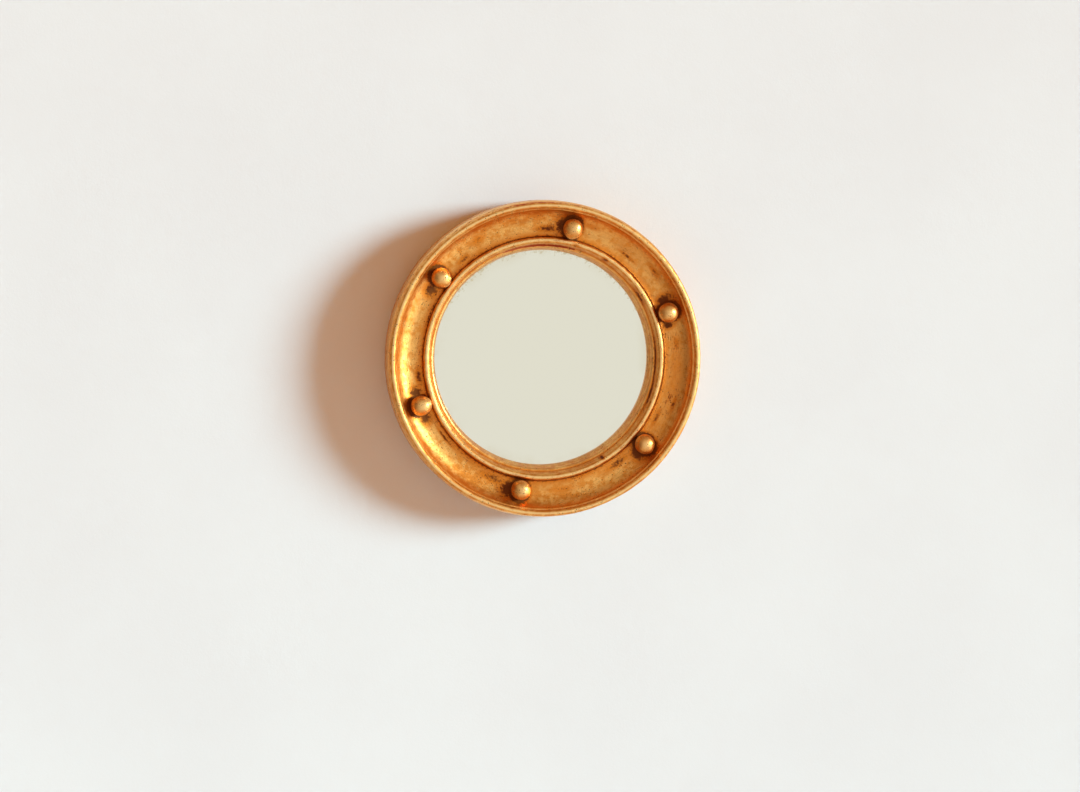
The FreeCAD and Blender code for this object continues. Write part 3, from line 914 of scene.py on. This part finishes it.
@dataclass
class BallRow:
    """Six turned balls, set by hand in the cove, each a little different."""

    radius: float = 7.0
    shrink: float = 0.05  # how much smaller than in the CAD a ball is drawn
    foot: float = 5.0  # how far below its middle a ball's foot is darkest, soiled and with painted shade
    lumps: Lumps = Lumps(6.0, 0.35)
    ring_radius: float = 90.45
    ring_height: float = 24.79
    clocks: tuple[float, ...] = (12.2, 70.0, 130.5, 190.6, 250.3, 308.3)
    # how each ball's gesso was pulled while it was wet: right, forward, up, mm and reach
    pulls: tuple[tuple[float, ...], ...] = (
        (-0.3, 0.2, -0.9, 0.5, 6.0),
        (-0.8, 0.3, 0.2, 0.5, 6.0),
        (0.5, 0.2, -0.8, 0.5, 6.0),
        (-0.6, 0.3, 0.6, 0.5, 6.0),
        (0.94, 0.2, 0.3, 1.0, 13.0),
        (0.62, 0.3, -0.74, 0.7, 6.5),
    )

    def centre(self, clock: float) -> Triple:
        """Centre of the ball at a clock angle, in mm in the model's frame."""
        turn = math.radians(clock)
        across, up = self.ring_radius * math.sin(turn), self.ring_radius * math.cos(turn)
        return (across, -self.ring_height, up)

    def nearness(self, places: Places, reach: float) -> np.ndarray:
        """Soft mask of a mesh, 1 where it touches a ball and fading out over a reach."""
        total = np.zeros_like(places.radius)
        for clock in self.clocks:
            gap = np.maximum(places.from_point(self.centre(clock)) - self.radius, 0.0)
            total = np.maximum(total, np.exp(-((gap / reach) ** 2)))
        return total

    def build(self, material: Material) -> None:
        """Model the balls, mark their crowns and feet, and hand them over.

        A crown is worn and takes a painted highlight; a foot is soiled and darkened by painted
        shade.
        """
        for number, (clock, pull) in enumerate(zip(self.clocks, self.pulls), start=1):
            ball = self.model(number, Vector(self.centre(clock)) * MM, pull)
            rise = Places.of(ball).height - self.ring_height
            # the crown is worn and takes a painted highlight; the foot, where the ball sits in the
            # cove, is soiled and takes painted shade
            write_masks(
                ball,
                wear=0.12 + 0.5 * np.clip(rise / self.radius, 0.0, 1.0) ** 2,
                grime=0.12 + np.clip(-rise / self.foot, 0.0, 1.0),
                bare=np.zeros_like(rise),
            )
            ball.data.materials.append(material)
            finish_piece(ball, "mirror", [f"ball_{number}"])

    def model(self, number: int, centre: Vector, pull: tuple[float, ...]) -> Object:
        """Start a ball from a sphere, pull its gesso and press it uneven.

        Args:
            number: which ball, from 1.
            centre: its place in metres.
            pull: its row of pulls.

        Returns:
            The ball, in place.
        """
        right, forward, up, far, reach = pull
        bpy.ops.mesh.primitive_ico_sphere_add(
            subdivisions=5, radius=(self.radius - self.shrink) * MM, location=centre
        )
        bpy.ops.object.transform_apply(location=True)
        ball = bpy.context.object
        ball.name = ball.data.name = f"gilded_ball_{number}"
        way = Vector((right, -forward, up)).normalized()
        edit_mesh(True)
        bpy.ops.mesh.select_all(action="DESELECT")
        shape = bmesh.from_edit_mesh(ball.data)
        max(shape.verts, key=lambda vertex: (vertex.co - centre).dot(way)).select_set(True)
        bmesh.update_edit_mesh(ball.data)
        bpy.ops.transform.translate(
            value=way * far * MM,
            use_proportional_edit=True,
            proportional_edit_falloff="SMOOTH",
            proportional_size=reach * MM,
        )
        edit_mesh(False)
        uneven(ball, f"ball_lumps_{number}", self.lumps, "")
        return ball


# on the front, in rows of clock, radius, half length, half width and strength
# the cove's dark patches: soiling, and painted ball shadows where they lie on a ball's side away
# from the key light
COVE_SMUDGES_AND_SHADOWS = smudges(
    (7.5, 91.5, 5.0, 7.5, 1.2), (2.0, 88.5, 11.0, 3.2, 0.95), (64.5, 92.0, 5.0, 8.0, 1.15),
    (75.5, 88.5, 4.0, 6.0, 1.1), (98.0, 92.0, 50.0, 7.5, 0.46), (42.0, 93.0, 34.0, 6.5, 0.3),
    (135.0, 92.0, 6.5, 7.5, 1.25), (145.0, 88.0, 13.0, 3.4, 0.95), (196.0, 92.0, 6.0, 8.0, 1.25),
    (203.0, 88.0, 12.0, 3.8, 0.95), (244.5, 90.0, 6.5, 5.5, 1.2), (232.0, 86.4, 13.0, 1.2, 1.05),
    (256.0, 90.5, 5.5, 6.0, 1.15), (262.5, 86.4, 9.0, 2.8, 1.0), (291.0, 84.0, 22.0, 0.7, 1.0),
    (301.5, 90.5, 7.0, 6.5, 1.1), (321.0, 87.3, 6.0, 2.2, 0.95), (331.0, 93.0, 7.0, 3.4, 0.7),
    (20.0, 95.0, 8.0, 2.4, 0.6), (40.0, 90.0, 9.0, 1.4, 0.95), (52.0, 96.0, 7.0, 2.0, 0.85),
    (84.0, 92.0, 6.0, 2.4, 0.8), (110.0, 95.0, 8.0, 2.0, 0.85), (118.0, 88.0, 10.0, 2.2, 0.8),
    (172.0, 90.0, 12.0, 3.0, 0.6),
)
RIM_RUBS = smudges(
    (352.0, 107.0, 26.0, 1.6, 0.85), (12.0, 107.4, 22.0, 1.4, 0.85),
    (48.0, 107.4, 20.0, 1.4, 0.85), (72.0, 107.0, 14.0, 1.2, 0.7),
    (110.0, 107.6, 26.0, 1.0, 0.8), (160.0, 107.8, 40.0, 0.9, 0.9),
    (215.0, 107.8, 30.0, 0.9, 0.7), (300.0, 107.0, 18.0, 1.2, 0.6),
)
SLIP_SMUDGES = smudges(
    (92.0, 77.6, 26.0, 0.7, 1.2), (108.0, 77.9, 14.0, 0.7, 1.2), (58.0, 78.2, 9.0, 0.8, 1.1),
    (32.0, 79.2, 2.4, 1.4, 1.1), (16.0, 80.0, 3.4, 1.6, 0.8), (149.5, 79.0, 1.6, 1.6, 1.3),
    (250.0, 77.8, 30.0, 0.6, 0.6),
)
SLIP_RUBS = smudges(
    (356.0, 77.1, 15.0, 0.9, 1.4), (343.0, 77.2, 7.0, 0.7, 1.1), (11.0, 77.0, 9.0, 0.8, 1.1),
    (170.0, 79.0, 16.0, 1.2, 0.55),
)


@dataclass
class Moulding:
    """The turned ring: outer wall, roll, rim bead, cove, and the rebates in its back."""

    bore: float = 78.4
    rebate: float = 84.0
    socket: float = 83.3
    slip_seat: float = 9.5
    board_front: float = 3.3
    back: float = 106.23
    wall: float = 108.03
    taper_top: float = 9.0
    quirk: Spot = (107.23, 17.83)
    quirk_height: float = 0.5
    roll_radius: float = 7.1
    roll_top: Spot = (106.23, 25.93)
    rim_bead: float = 2.35
    crest: Spot = (104.63, 30.0)
    bead_foot: Spot = (102.39, 26.85)
    step_width: float = 0.42
    cove_edge: float = 101.55
    cove_top: float = 26.4
    cove_radius: float = 14.68
    cove_centre: float = 88.8
    cove_floor: float = 19.0
    cove_foot: float = 20.07
    recess_low: float = 85.6
    recess_high: float = 103.5
    recess_width: float = 18.0
    recess_depth: float = 5.5
    recess_corner: float = 4.0
    gesso_rise: float = 0.2  # where gesso runs up to a ball
    waves: Lumps = Lumps(30.0, 0.35)
    lumps: Lumps = Lumps(3.5, 0.16)
    steps: int = 640

    def build(self, balls: BallRow, gilded: Material, bare: Material) -> None:
        """Model the ring and hand it over.

        Args:
            balls: the balls that the gesso runs up to.
            gilded: finish of the front and the outer wall.
            bare: finish of the back.
        """
        ring = self.draw()
        self.cut_recess(ring)
        self.age(ring, balls)
        self.mark(ring, balls)
        ring.data.materials.append(gilded)
        ring.data.materials.append(bare)
        self.give_back_its_wood(ring)
        finish_piece(ring, "mirror", ["frame_moulding"])

    def draw(self) -> Object:
        """Draw the section from the back rebate outwards and turn it."""
        wall_top = self.quirk[1] - self.quirk_height
        middle = self.cove_edge + self.step_width
        pen = LathePen("gilded_moulding", self.rebate, 0.0)
        pen.line(self.back, 0.0, 8)
        pen.line(self.wall, self.taper_top, 9)
        pen.line(self.wall, wall_top, 8)
        pen.line(*self.quirk, 2)
        pen.arc(*self.roll_top, self.roll_radius, Bend.ROUND, 14)
        pen.arc(*self.crest, self.rim_bead, Bend.ROUND, 14)
        pen.arc(*self.bead_foot, self.rim_bead, Bend.ROUND, 12)
        pen.line(middle, self.bead_foot[1])
        pen.line(middle, self.cove_top)
        pen.line(self.cove_edge, self.cove_top)
        pen.arc(self.cove_centre, self.cove_floor, self.cove_radius, Bend.HOLLOW, 36)
        pen.arc(self.socket, self.cove_foot, self.cove_radius, Bend.HOLLOW, 10)
        pen.line(self.socket, self.slip_seat, 3)
        pen.line(self.bore, self.slip_seat, 2)
        pen.line(self.bore, self.board_front, 2)
        pen.line(self.rebate, self.board_front, 2)
        pen.line(self.rebate, 0.0)
        pen.soften([(self.back, 0.0), (self.rebate, 0.0)], 0.5)
        pen.soften([(self.wall, self.taper_top)], 1.2)
        pen.soften([(self.wall, wall_top)], 0.3)
        pen.soften([(middle, self.bead_foot[1]), (self.cove_edge, self.cove_top)], 0.14)
        return pen.turn(self.steps)

    def cut_recess(self, ring: Object) -> None:
        """Cut the hanger's recess out of the back, with its round corners."""
        middle = (self.recess_low + self.recess_high) / 2
        length = self.recess_high - self.recess_low
        bpy.ops.mesh.primitive_cube_add(size=1.0, location=(0.0, 0.0, middle * MM))
        block = bpy.context.object
        block.scale = (self.recess_width * MM, 2 * self.recess_depth * MM, length * MM)
        bpy.ops.object.transform_apply(location=True, scale=True)
        edit_mesh(True)
        bpy.ops.mesh.select_all(action="DESELECT")
        for edge in bmesh.from_edit_mesh(block.data).edges:
            run = edge.verts[0].co - edge.verts[1].co
            edge.select_set(abs(run.y) > self.recess_depth * MM)
        bmesh.update_edit_mesh(block.data)
        bpy.ops.mesh.bevel(offset=self.recess_corner * MM, segments=8, affect="EDGES")
        edit_mesh(False)
        apply_modifier(
            ring, "recess", "BOOLEAN", operation="DIFFERENCE", object=block, solver="EXACT"
        )
        bpy.data.objects.remove(block)

    def age(self, ring: Object, balls: BallRow) -> None:
        """Run gesso up to the balls and press the front uneven."""
        places = Places.of(ring)
        cove = (places.radius > self.socket + 0.2) & (places.height > self.cove_floor - 0.1)
        write_weights(ring, "gesso", np.where(cove, balls.nearness(places, 1.2), 0.0))
        apply_modifier(
            ring, "gesso", "DISPLACE",
            strength=self.gesso_rise * MM, mid_level=0.0, vertex_group="gesso",
        )
        front = np.clip((places.height - 1.0) / 6.0, 0.0, 1.0)
        write_weights(ring, "front", np.where(places.radius > self.socket + 0.1, front, 0.0))
        uneven(ring, "long_waves", self.waves, "front")
        uneven(ring, "gesso_lumps", self.lumps, "front")

    def mark(self, ring: Object, balls: BallRow) -> None:
        """Mark where the leaf is worn and takes a painted highlight, where it is dirty and takes
        painted shade, and where it is gone.
        """
        places = Places.of(ring)
        # worn ridges and edges, which also take a painted highlight
        wear = places.bands(
            (0.75, *self.crest, 1.2),
            (0.62, self.wall - 0.2, 22.4, 3.4),
            (0.80, self.wall, self.quirk[1] - self.quirk_height, 0.8),
            (0.60, self.cove_edge + 0.3, self.cove_top + 0.3, 0.5),
        )
        # darkening in the section's creases, grooves and corners, with two thin dark lines on the
        # roll and the outer wall: painted shade, with soiling
        hollow = places.bands(
            (0.25, self.socket, self.cove_foot, 0.9),
            (0.60, self.socket, self.cove_foot, 4.6),
            (0.80, self.wall - 0.35, self.quirk[1] + 3.2, 0.35),
            (0.70, self.wall, 14.5, 0.4),
            (0.32, self.cove_edge - 1.0, self.cove_top - 2.0, 2.6),
            (0.9, *self.roll_top, 0.5),
            (0.9, *self.quirk, 0.6),
            (0.4, self.cove_edge + 0.1, self.cove_top - 1.2, 0.9),
        )
        # a dark halo round each ball where it meets the cove: soiling and painted contact shade
        dirt_and_shade = [1.7 * balls.nearness(places, 3.2), *(s.mask(places) for s in COVE_SMUDGES_AND_SHADOWS)]
        grime = np.maximum.reduce([hollow, *dirt_and_shade])
        grime = np.where(places.radius > self.socket, grime, 0.0)
        bare = sum(rub.mask(places) for rub in RIM_RUBS)
        bare = np.where(places.height > self.cove_top - 1.0, bare, 0.0)
        bare = bare + places.bands((0.75, self.wall, 7.0, 6.0))
        write_masks(ring, wear=wear, grime=grime, bare=bare)

    def give_back_its_wood(self, ring: Object) -> None:
        """Put the bare wood on every face that looks back or lies inside the rebates."""
        count = len(ring.data.polygons)
        centres, normals = np.empty(count * 3), np.empty(count * 3)
        ring.data.polygons.foreach_get("center", centres)
        ring.data.polygons.foreach_get("normal", normals)
        centres, normals = centres.reshape(-1, 3) / MM, normals.reshape(-1, 3)
        radius, height = np.hypot(centres[:, 0], centres[:, 2]), -centres[:, 1]
        inner = (radius < self.socket + 0.3) & (height < self.cove_foot - 0.3)
        hidden = (radius < self.back - 0.2) & (height < self.recess_depth + 0.3)
        back = (normals[:, 1] > 0.7) & (height < 1.0)
        ring.data.polygons.foreach_set("material_index", (inner | hidden | back).astype(np.int32))


@dataclass
class Slip:
    """The inner ring over the glass's edge: bead, reed and the leaning wall at the sight."""

    sight: float = 73.7
    glass_height: float = 8.65
    tongue: float = 78.3
    tongue_height: float = 7.4
    outer: float = 83.2
    seat: float = 9.5
    bead: float = 2.4
    crest: Spot = (80.8, 22.5)
    bead_end: Spot = (78.62, 19.09)
    reed_foot: Spot = (77.2, 15.95)
    reed_radius: float = 2.2
    wall_top: Spot = (74.9, 13.65)
    waves: Lumps = Lumps(24.0, 0.3)
    lumps: Lumps = Lumps(3.0, 0.14)
    steps: int = 560

    def build(self, balls: BallRow, gilded: Material) -> None:
        """Model the ring, age it and hand it over."""
        ring = self.draw()
        front = np.clip((Places.of(ring).height - self.seat - 1.0) / 3.0, 0.0, 1.0)
        write_weights(ring, "front", front)
        uneven(ring, "slip_waves", self.waves, "front")
        uneven(ring, "slip_lumps", self.lumps, "front")
        self.mark(ring, balls)
        ring.data.materials.append(gilded)
        finish_piece(ring, "mirror", ["sight_slip"])

    def draw(self) -> Object:
        """Draw the section from the sight's edge outwards and turn it."""
        pen = LathePen("gilded_slip", self.sight, self.glass_height)
        pen.line(self.tongue, self.tongue_height, 4)
        pen.line(self.tongue, self.seat)
        pen.line(self.outer, self.seat, 2)
        pen.line(self.outer, self.crest[1] - self.bead, 12)
        pen.arc(*self.crest, self.bead, Bend.ROUND, 9)
        pen.arc(*self.bead_end, self.bead, Bend.ROUND, 12)
        pen.line(*self.reed_foot, 8)
        pen.arc(*self.wall_top, self.reed_radius, Bend.ROUND, 12)
        pen.line(self.sight, self.glass_height, 8)
        pen.soften([(self.sight, self.glass_height)], 0.35)
        return pen.turn(self.steps)

    def mark(self, ring: Object, balls: BallRow) -> None:
        """Mark where the leaf is worn and takes a painted highlight, where it is dirty and takes
        painted shade, and where it is gone.
        """
        places = Places.of(ring)
        # worn crest, reed and sight edge, which also take a painted highlight
        wear = places.bands(
            (0.9, *self.crest, 1.1),
            (0.6, 75.7, 15.5, 0.9),
            (0.5, self.sight, self.glass_height, 0.8),
        )
        # darkening in the groove at the reed's foot and in the crease by the cove: painted shade,
        # with soiling
        hollow = places.bands((0.7, *self.reed_foot, 0.55), (0.35, self.outer, 20.0, 0.7))
        # a dark patch where a ball comes close, soiling and painted contact shade, and the slip's
        # patches of soiling
        dirt_and_shade = [0.9 * balls.nearness(places, 1.0), *(s.mask(places) for s in SLIP_SMUDGES)]
        grime = np.maximum.reduce([hollow, *dirt_and_shade])
        bare = sum(rub.mask(places) for rub in SLIP_RUBS)
        write_masks(ring, wear=wear, grime=grime * np.clip(1.0 - bare, 0.0, 1.0), bare=bare)


@dataclass
class DomedGlass:
    """The convex glass, slumped to a flatter margin, with its arris ground off."""

    edge: float = 77.5
    back_curve: float = 282.5
    edge_height: float = 5.0
    front_curve: float = 285.0
    crown: float = 17.34
    # the flatter margin that the slip beds on, from the edge to the foot of the dome
    margin: tuple[Spot, ...] = ((77.5, 7.5), (73.9, 8.34), (71.2, 8.6))
    dome_foot: Spot = (67.6, 9.21)
    margin_curve: float = 25.5
    steps: int = 240

    def build(self, material: Material) -> None:
        """Model the glass and hand it over."""
        sagitta = self.back_curve - math.sqrt(self.back_curve**2 - self.edge**2)
        pen = LathePen("silvered_dome", 0.0, self.edge_height + sagitta)
        pen.arc(self.edge, self.edge_height, self.back_curve, Bend.HOLLOW, 16)
        for spot in self.margin:
            pen.line(*spot, 2)
        pen.arc(*self.dome_foot, self.margin_curve, Bend.HOLLOW, 8)
        pen.arc(0.0, self.crown, self.front_curve, Bend.ROUND, 40)
        pen.soften([(self.edge, self.edge_height), self.margin[0]], 0.3)
        dome = pen.turn(self.steps)
        dome.data.materials.append(material)
        finish_piece(dome, "mirror", ["mirror_glass"])


@dataclass
class BackFittings:
    """What closes and hangs the mirror: packing, pegs, board, pins, strap, ring and screw."""

    brass: Finish = SmallMetal(tone(214, 172, 98), tone(150, 112, 58), tone(70, 58, 34))
    steel: Finish = SmallMetal(tone(172, 162, 148), tone(118, 106, 92), tone(92, 54, 34), 0.42)
    peg_count: int = 6

    def dress(self, shelf: EffectShelf) -> None:
        """Give every hidden or rear CAD node its finish, and report it."""
        pegs = [f"ball_peg_{number}" for number in range(1, self.peg_count + 1)]
        for name, finish, nodes in (
            ("aged_brass", self.brass, ["hanger_strap", "hanger_ring", "hanger_screw"]),
            ("turned_beech", TurnedBeech(), pegs),
            ("aged_plywood", AgedPlywood(), ["backboard"]),
            ("rusting_steel", self.steel, ["backboard_pins"]),
            ("pressed_felt", PressedFelt(), ["glass_packing"]),
        ):
            material = finish.material(name, shelf)
            for node in nodes:
                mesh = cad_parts[node].data
                mesh.materials.clear()
                mesh.materials.append(material)
                LOG.info("%s: dressed in %s", node, name)


# ---- the room


@dataclass
class Studio:
    """A pale wall and floor, two suns from the right, a rear lamp and the camera."""

    photo_azimuth: float = -9.0
    photo_elevation: float = 4.8
    camera_distance: float = 2.6
    lens: float = 127.14
    aim: Triple = (-0.0019, -0.014, -0.0258)
    wall_tones: tuple[Colour, Colour] = (tone(227, 230, 235), tone(230, 234, 239))
    wall_gap: float = 0.0006
    wall_hole: float = 0.104  # behind the mirror, so that its back is lit
    wall_reach: float = 3.2
    floor_tones: tuple[Colour, Colour] = (tone(226, 222, 216), tone(231, 227, 221))
    floor_side: float = 6.0
    floor_level: float = -0.45
    key_place: Triple = (4.6, -2.1, 0.8)
    rear_place: Triple = (-0.9, 1.5, 0.9)
    rear_tint: Triple = (1.0, 0.98, 0.95)
    rear_power: float = 26.0
    rear_size: float = 0.9
    # the key light's suns: name, width in degrees, strength, colour and whether it mirrors
    suns: tuple[tuple[str, float, float, Triple, bool], ...] = (
        ("key", 19.0, 3.8, (0.50, 0.88, 1.0), False),
        ("key_that_mirrors", 15.0, 2.1, (0.80, 0.92, 0.90), True),
    )
    # the room as it is mirrored: what lies ahead, then for each other part its axis, where
    # it starts, where it is full and its colour
    front_light: Colour = (0.80, 0.775, 0.70, 1.0)
    far_room: tuple[tuple[int, float, float, Colour], ...] = (
        (0, 0.60, 0.82, (1.8, 1.84, 1.7, 1.0)),
        (2, 0.46, 0.64, (0.58, 0.47, 0.32, 1.0)),
        (2, 0.70, 0.95, (0.42, 0.34, 0.25, 1.0)),
        (2, -0.60, -0.90, (0.80, 0.58, 0.36, 1.0)),
        (0, -0.38, -0.54, (0.54, 0.45, 0.32, 1.0)),
        (0, -0.60, -0.90, (0.25, 0.20, 0.15, 1.0)),
    )
    fill_light: Colour = (0.60, 0.24, 0.066, 1.0)
    backdrop: Colour = tone(236, 231, 226)

    def build(self) -> None:
        """Set the stage up."""
        self.add_wall()
        self.add_floor()
        self.light_world()
        for name, width, strength, colour, mirrors in self.suns:
            angle = math.radians(width)
            sun = self.hang(name, "SUN", self.key_place, strength, colour, angle=angle)
            sun.visible_glossy = mirrors
        self.hang(
            "rear", "AREA", self.rear_place, self.rear_power, self.rear_tint,
            shape="DISK", size=self.rear_size,
        )
        self.add_camera()
        bpy.context.scene.view_settings.view_transform = "Standard"

    @staticmethod
    def cloudy(sheet: NodeSheet, place: Socket, scale: float, tones: Sequence[Colour]) -> Socket:
        """Paint whose two tones change softly, at so many ripples in a metre."""
        cloud = sheet.noise(place, Ripples(scale))
        return sheet.layers(tones[0], (cloud, Step(0.3, 0.7), tones[1]))

    def add_wall(self) -> None:
        """Hang the mirror on a wall that vanishes when it is looked at from behind."""
        bpy.ops.mesh.primitive_circle_add(
            vertices=128,
            radius=self.wall_hole,
            location=(0.0, self.wall_gap, 0.0),
            rotation=(math.radians(90.0), 0.0, 0.0),
        )
        bpy.ops.object.transform_apply(location=True, rotation=True)
        wall = bpy.context.object
        wall.name = "wall"
        edit_mesh(True)
        bpy.ops.mesh.select_all(action="SELECT")
        bpy.ops.mesh.extrude_region_move()
        spread = self.wall_reach / self.wall_hole
        bpy.ops.transform.resize(
            value=(spread, 1.0, spread), center_override=(0.0, self.wall_gap, 0.0)
        )
        edit_mesh(False)
        if wall.data.polygons[0].normal.y > 0.0:
            wall.data.flip_normals()
        material, sheet, place = new_finish("painted_wall")
        paint = self.cloudy(sheet, place, 5.0, self.wall_tones)
        bump = sheet.bumps((sheet.noise(place, Ripples(700.0)), 0.05))
        matt = sheet.add("BsdfDiffuse", {"Color": paint, "Normal": bump}).outputs[0]
        behind = sheet.times(
            sheet.add("NewGeometry").outputs["Backfacing"],
            sheet.add("LightPath").outputs["Is Camera Ray"],
        )
        gone = sheet.add("BsdfTransparent").outputs[0]
        seen = sheet.add("MixShader", {0: behind, 1: matt, 2: gone}).outputs[0]
        sheet.add("OutputMaterial", {"Surface": seen})
        wall.data.materials.append(material)

    def add_floor(self) -> None:
        """Lay a plain pale floor below the mirror."""
        bpy.ops.mesh.primitive_plane_add(size=1.0, location=(0.0, 0.0, self.floor_level))
        plane = bpy.context.object
        plane.scale = (self.floor_side, self.floor_side, 1.0)
        bpy.ops.object.transform_apply(location=True, rotation=True, scale=True)
        plane.name = "floor"
        plane.visible_glossy = False
        material, sheet, place = new_finish("pale_floor")
        paint = self.cloudy(sheet, place, 3.0, self.floor_tones)
        close_finish(sheet, {"Base Color": paint, "Roughness": 0.8})
        plane.data.materials.append(material)

    def light_world(self) -> None:
        """Light the room evenly, warmer and dimmer for what it lights than for what mirrors it."""
        world = bpy.data.worlds.new("studio")
        bpy.context.scene.world = world
        world.use_nodes = True
        world.cycles.sampling_method = "NONE"
        sheet = NodeSheet(world.node_tree)
        way = sheet.add("SeparateXYZ", {0: sheet.add("TexCoord").outputs["Generated"]}).outputs
        covers = ((way[axis], (start, full), colour) for axis, start, full, colour in self.far_room)
        mirrored = sheet.layers(self.front_light, *covers)
        path = sheet.add("LightPath").outputs
        ambient = sheet.mix(path["Is Glossy Ray"], self.fill_light, mirrored)
        colour = sheet.mix(path["Is Camera Ray"], ambient, self.backdrop)
        shine = sheet.add("Background", {"Color": colour, "Strength": 1.0})
        sheet.add("OutputWorld", {"Surface": shine.outputs[0]})

    @staticmethod
    def link(name: str, data: bpy.types.ID, place, back: Vector) -> Object:
        """Stand a lamp or camera in the scene.

        Args:
            name: its name.
            data: the lamp or camera.
            place: where it stands, in metres.
            back: the way that its back looks.

        Returns:
            Its object.
        """
        holder = bpy.data.objects.new(name, data)
        bpy.context.scene.collection.objects.link(holder)
        holder.location = place
        holder.rotation_euler = (-back).to_track_quat("-Z", "Y").to_euler()
        return holder

    def hang(
        self, name: str, kind: str, place, strength: float, colour, **settings
    ) -> Object:
        """Hang a lamp that looks at the mirror. A sun falls evenly on the wall.

        Args:
            name: its name.
            kind: SUN or AREA.
            place: where it hangs.
            strength: in watts, or in watts on a square metre for a sun.
            colour: of its light.
            settings: its size and shape.

        Returns:
            The lamp.
        """
        lamp = bpy.data.lights.new(name, kind)
        lamp.energy = strength
        lamp.color = colour
        for key, value in settings.items():
            setattr(lamp, key, value)
        return self.link(name, lamp, place, Vector(place))

    def add_camera(self) -> None:
        """Stand the camera where the photograph was taken from."""
        turn, rise = math.radians(self.photo_azimuth), math.radians(self.photo_elevation)
        back = Vector(
            (math.sin(turn) * math.cos(rise), -math.cos(turn) * math.cos(rise), math.sin(rise))
        )
        data = bpy.data.cameras.new("photo_camera")
        data.lens = self.lens
        place = Vector(self.aim) + back * self.camera_distance
        bpy.context.scene.camera = self.link("photo_camera", data, place, back)


def main() -> None:
    """Build, dress and light the mirror in order."""
    logging.basicConfig(level=logging.INFO, format="%(name)s: %(message)s")
    shelf = EffectShelf()
    gilded = Gilding().material("old_gilding", shelf)
    balls = BallRow()
    Moulding().build(balls, gilded, BareBackWood().material("washed_pine", shelf))
    Slip().build(balls, gilded)
    balls.build(gilded)
    DomedGlass().build(SilveredGlass().material("silvered_glass", shelf))
    BackFittings().dress(shelf)
    Studio().build()


if __name__ == "__main__":
    main()
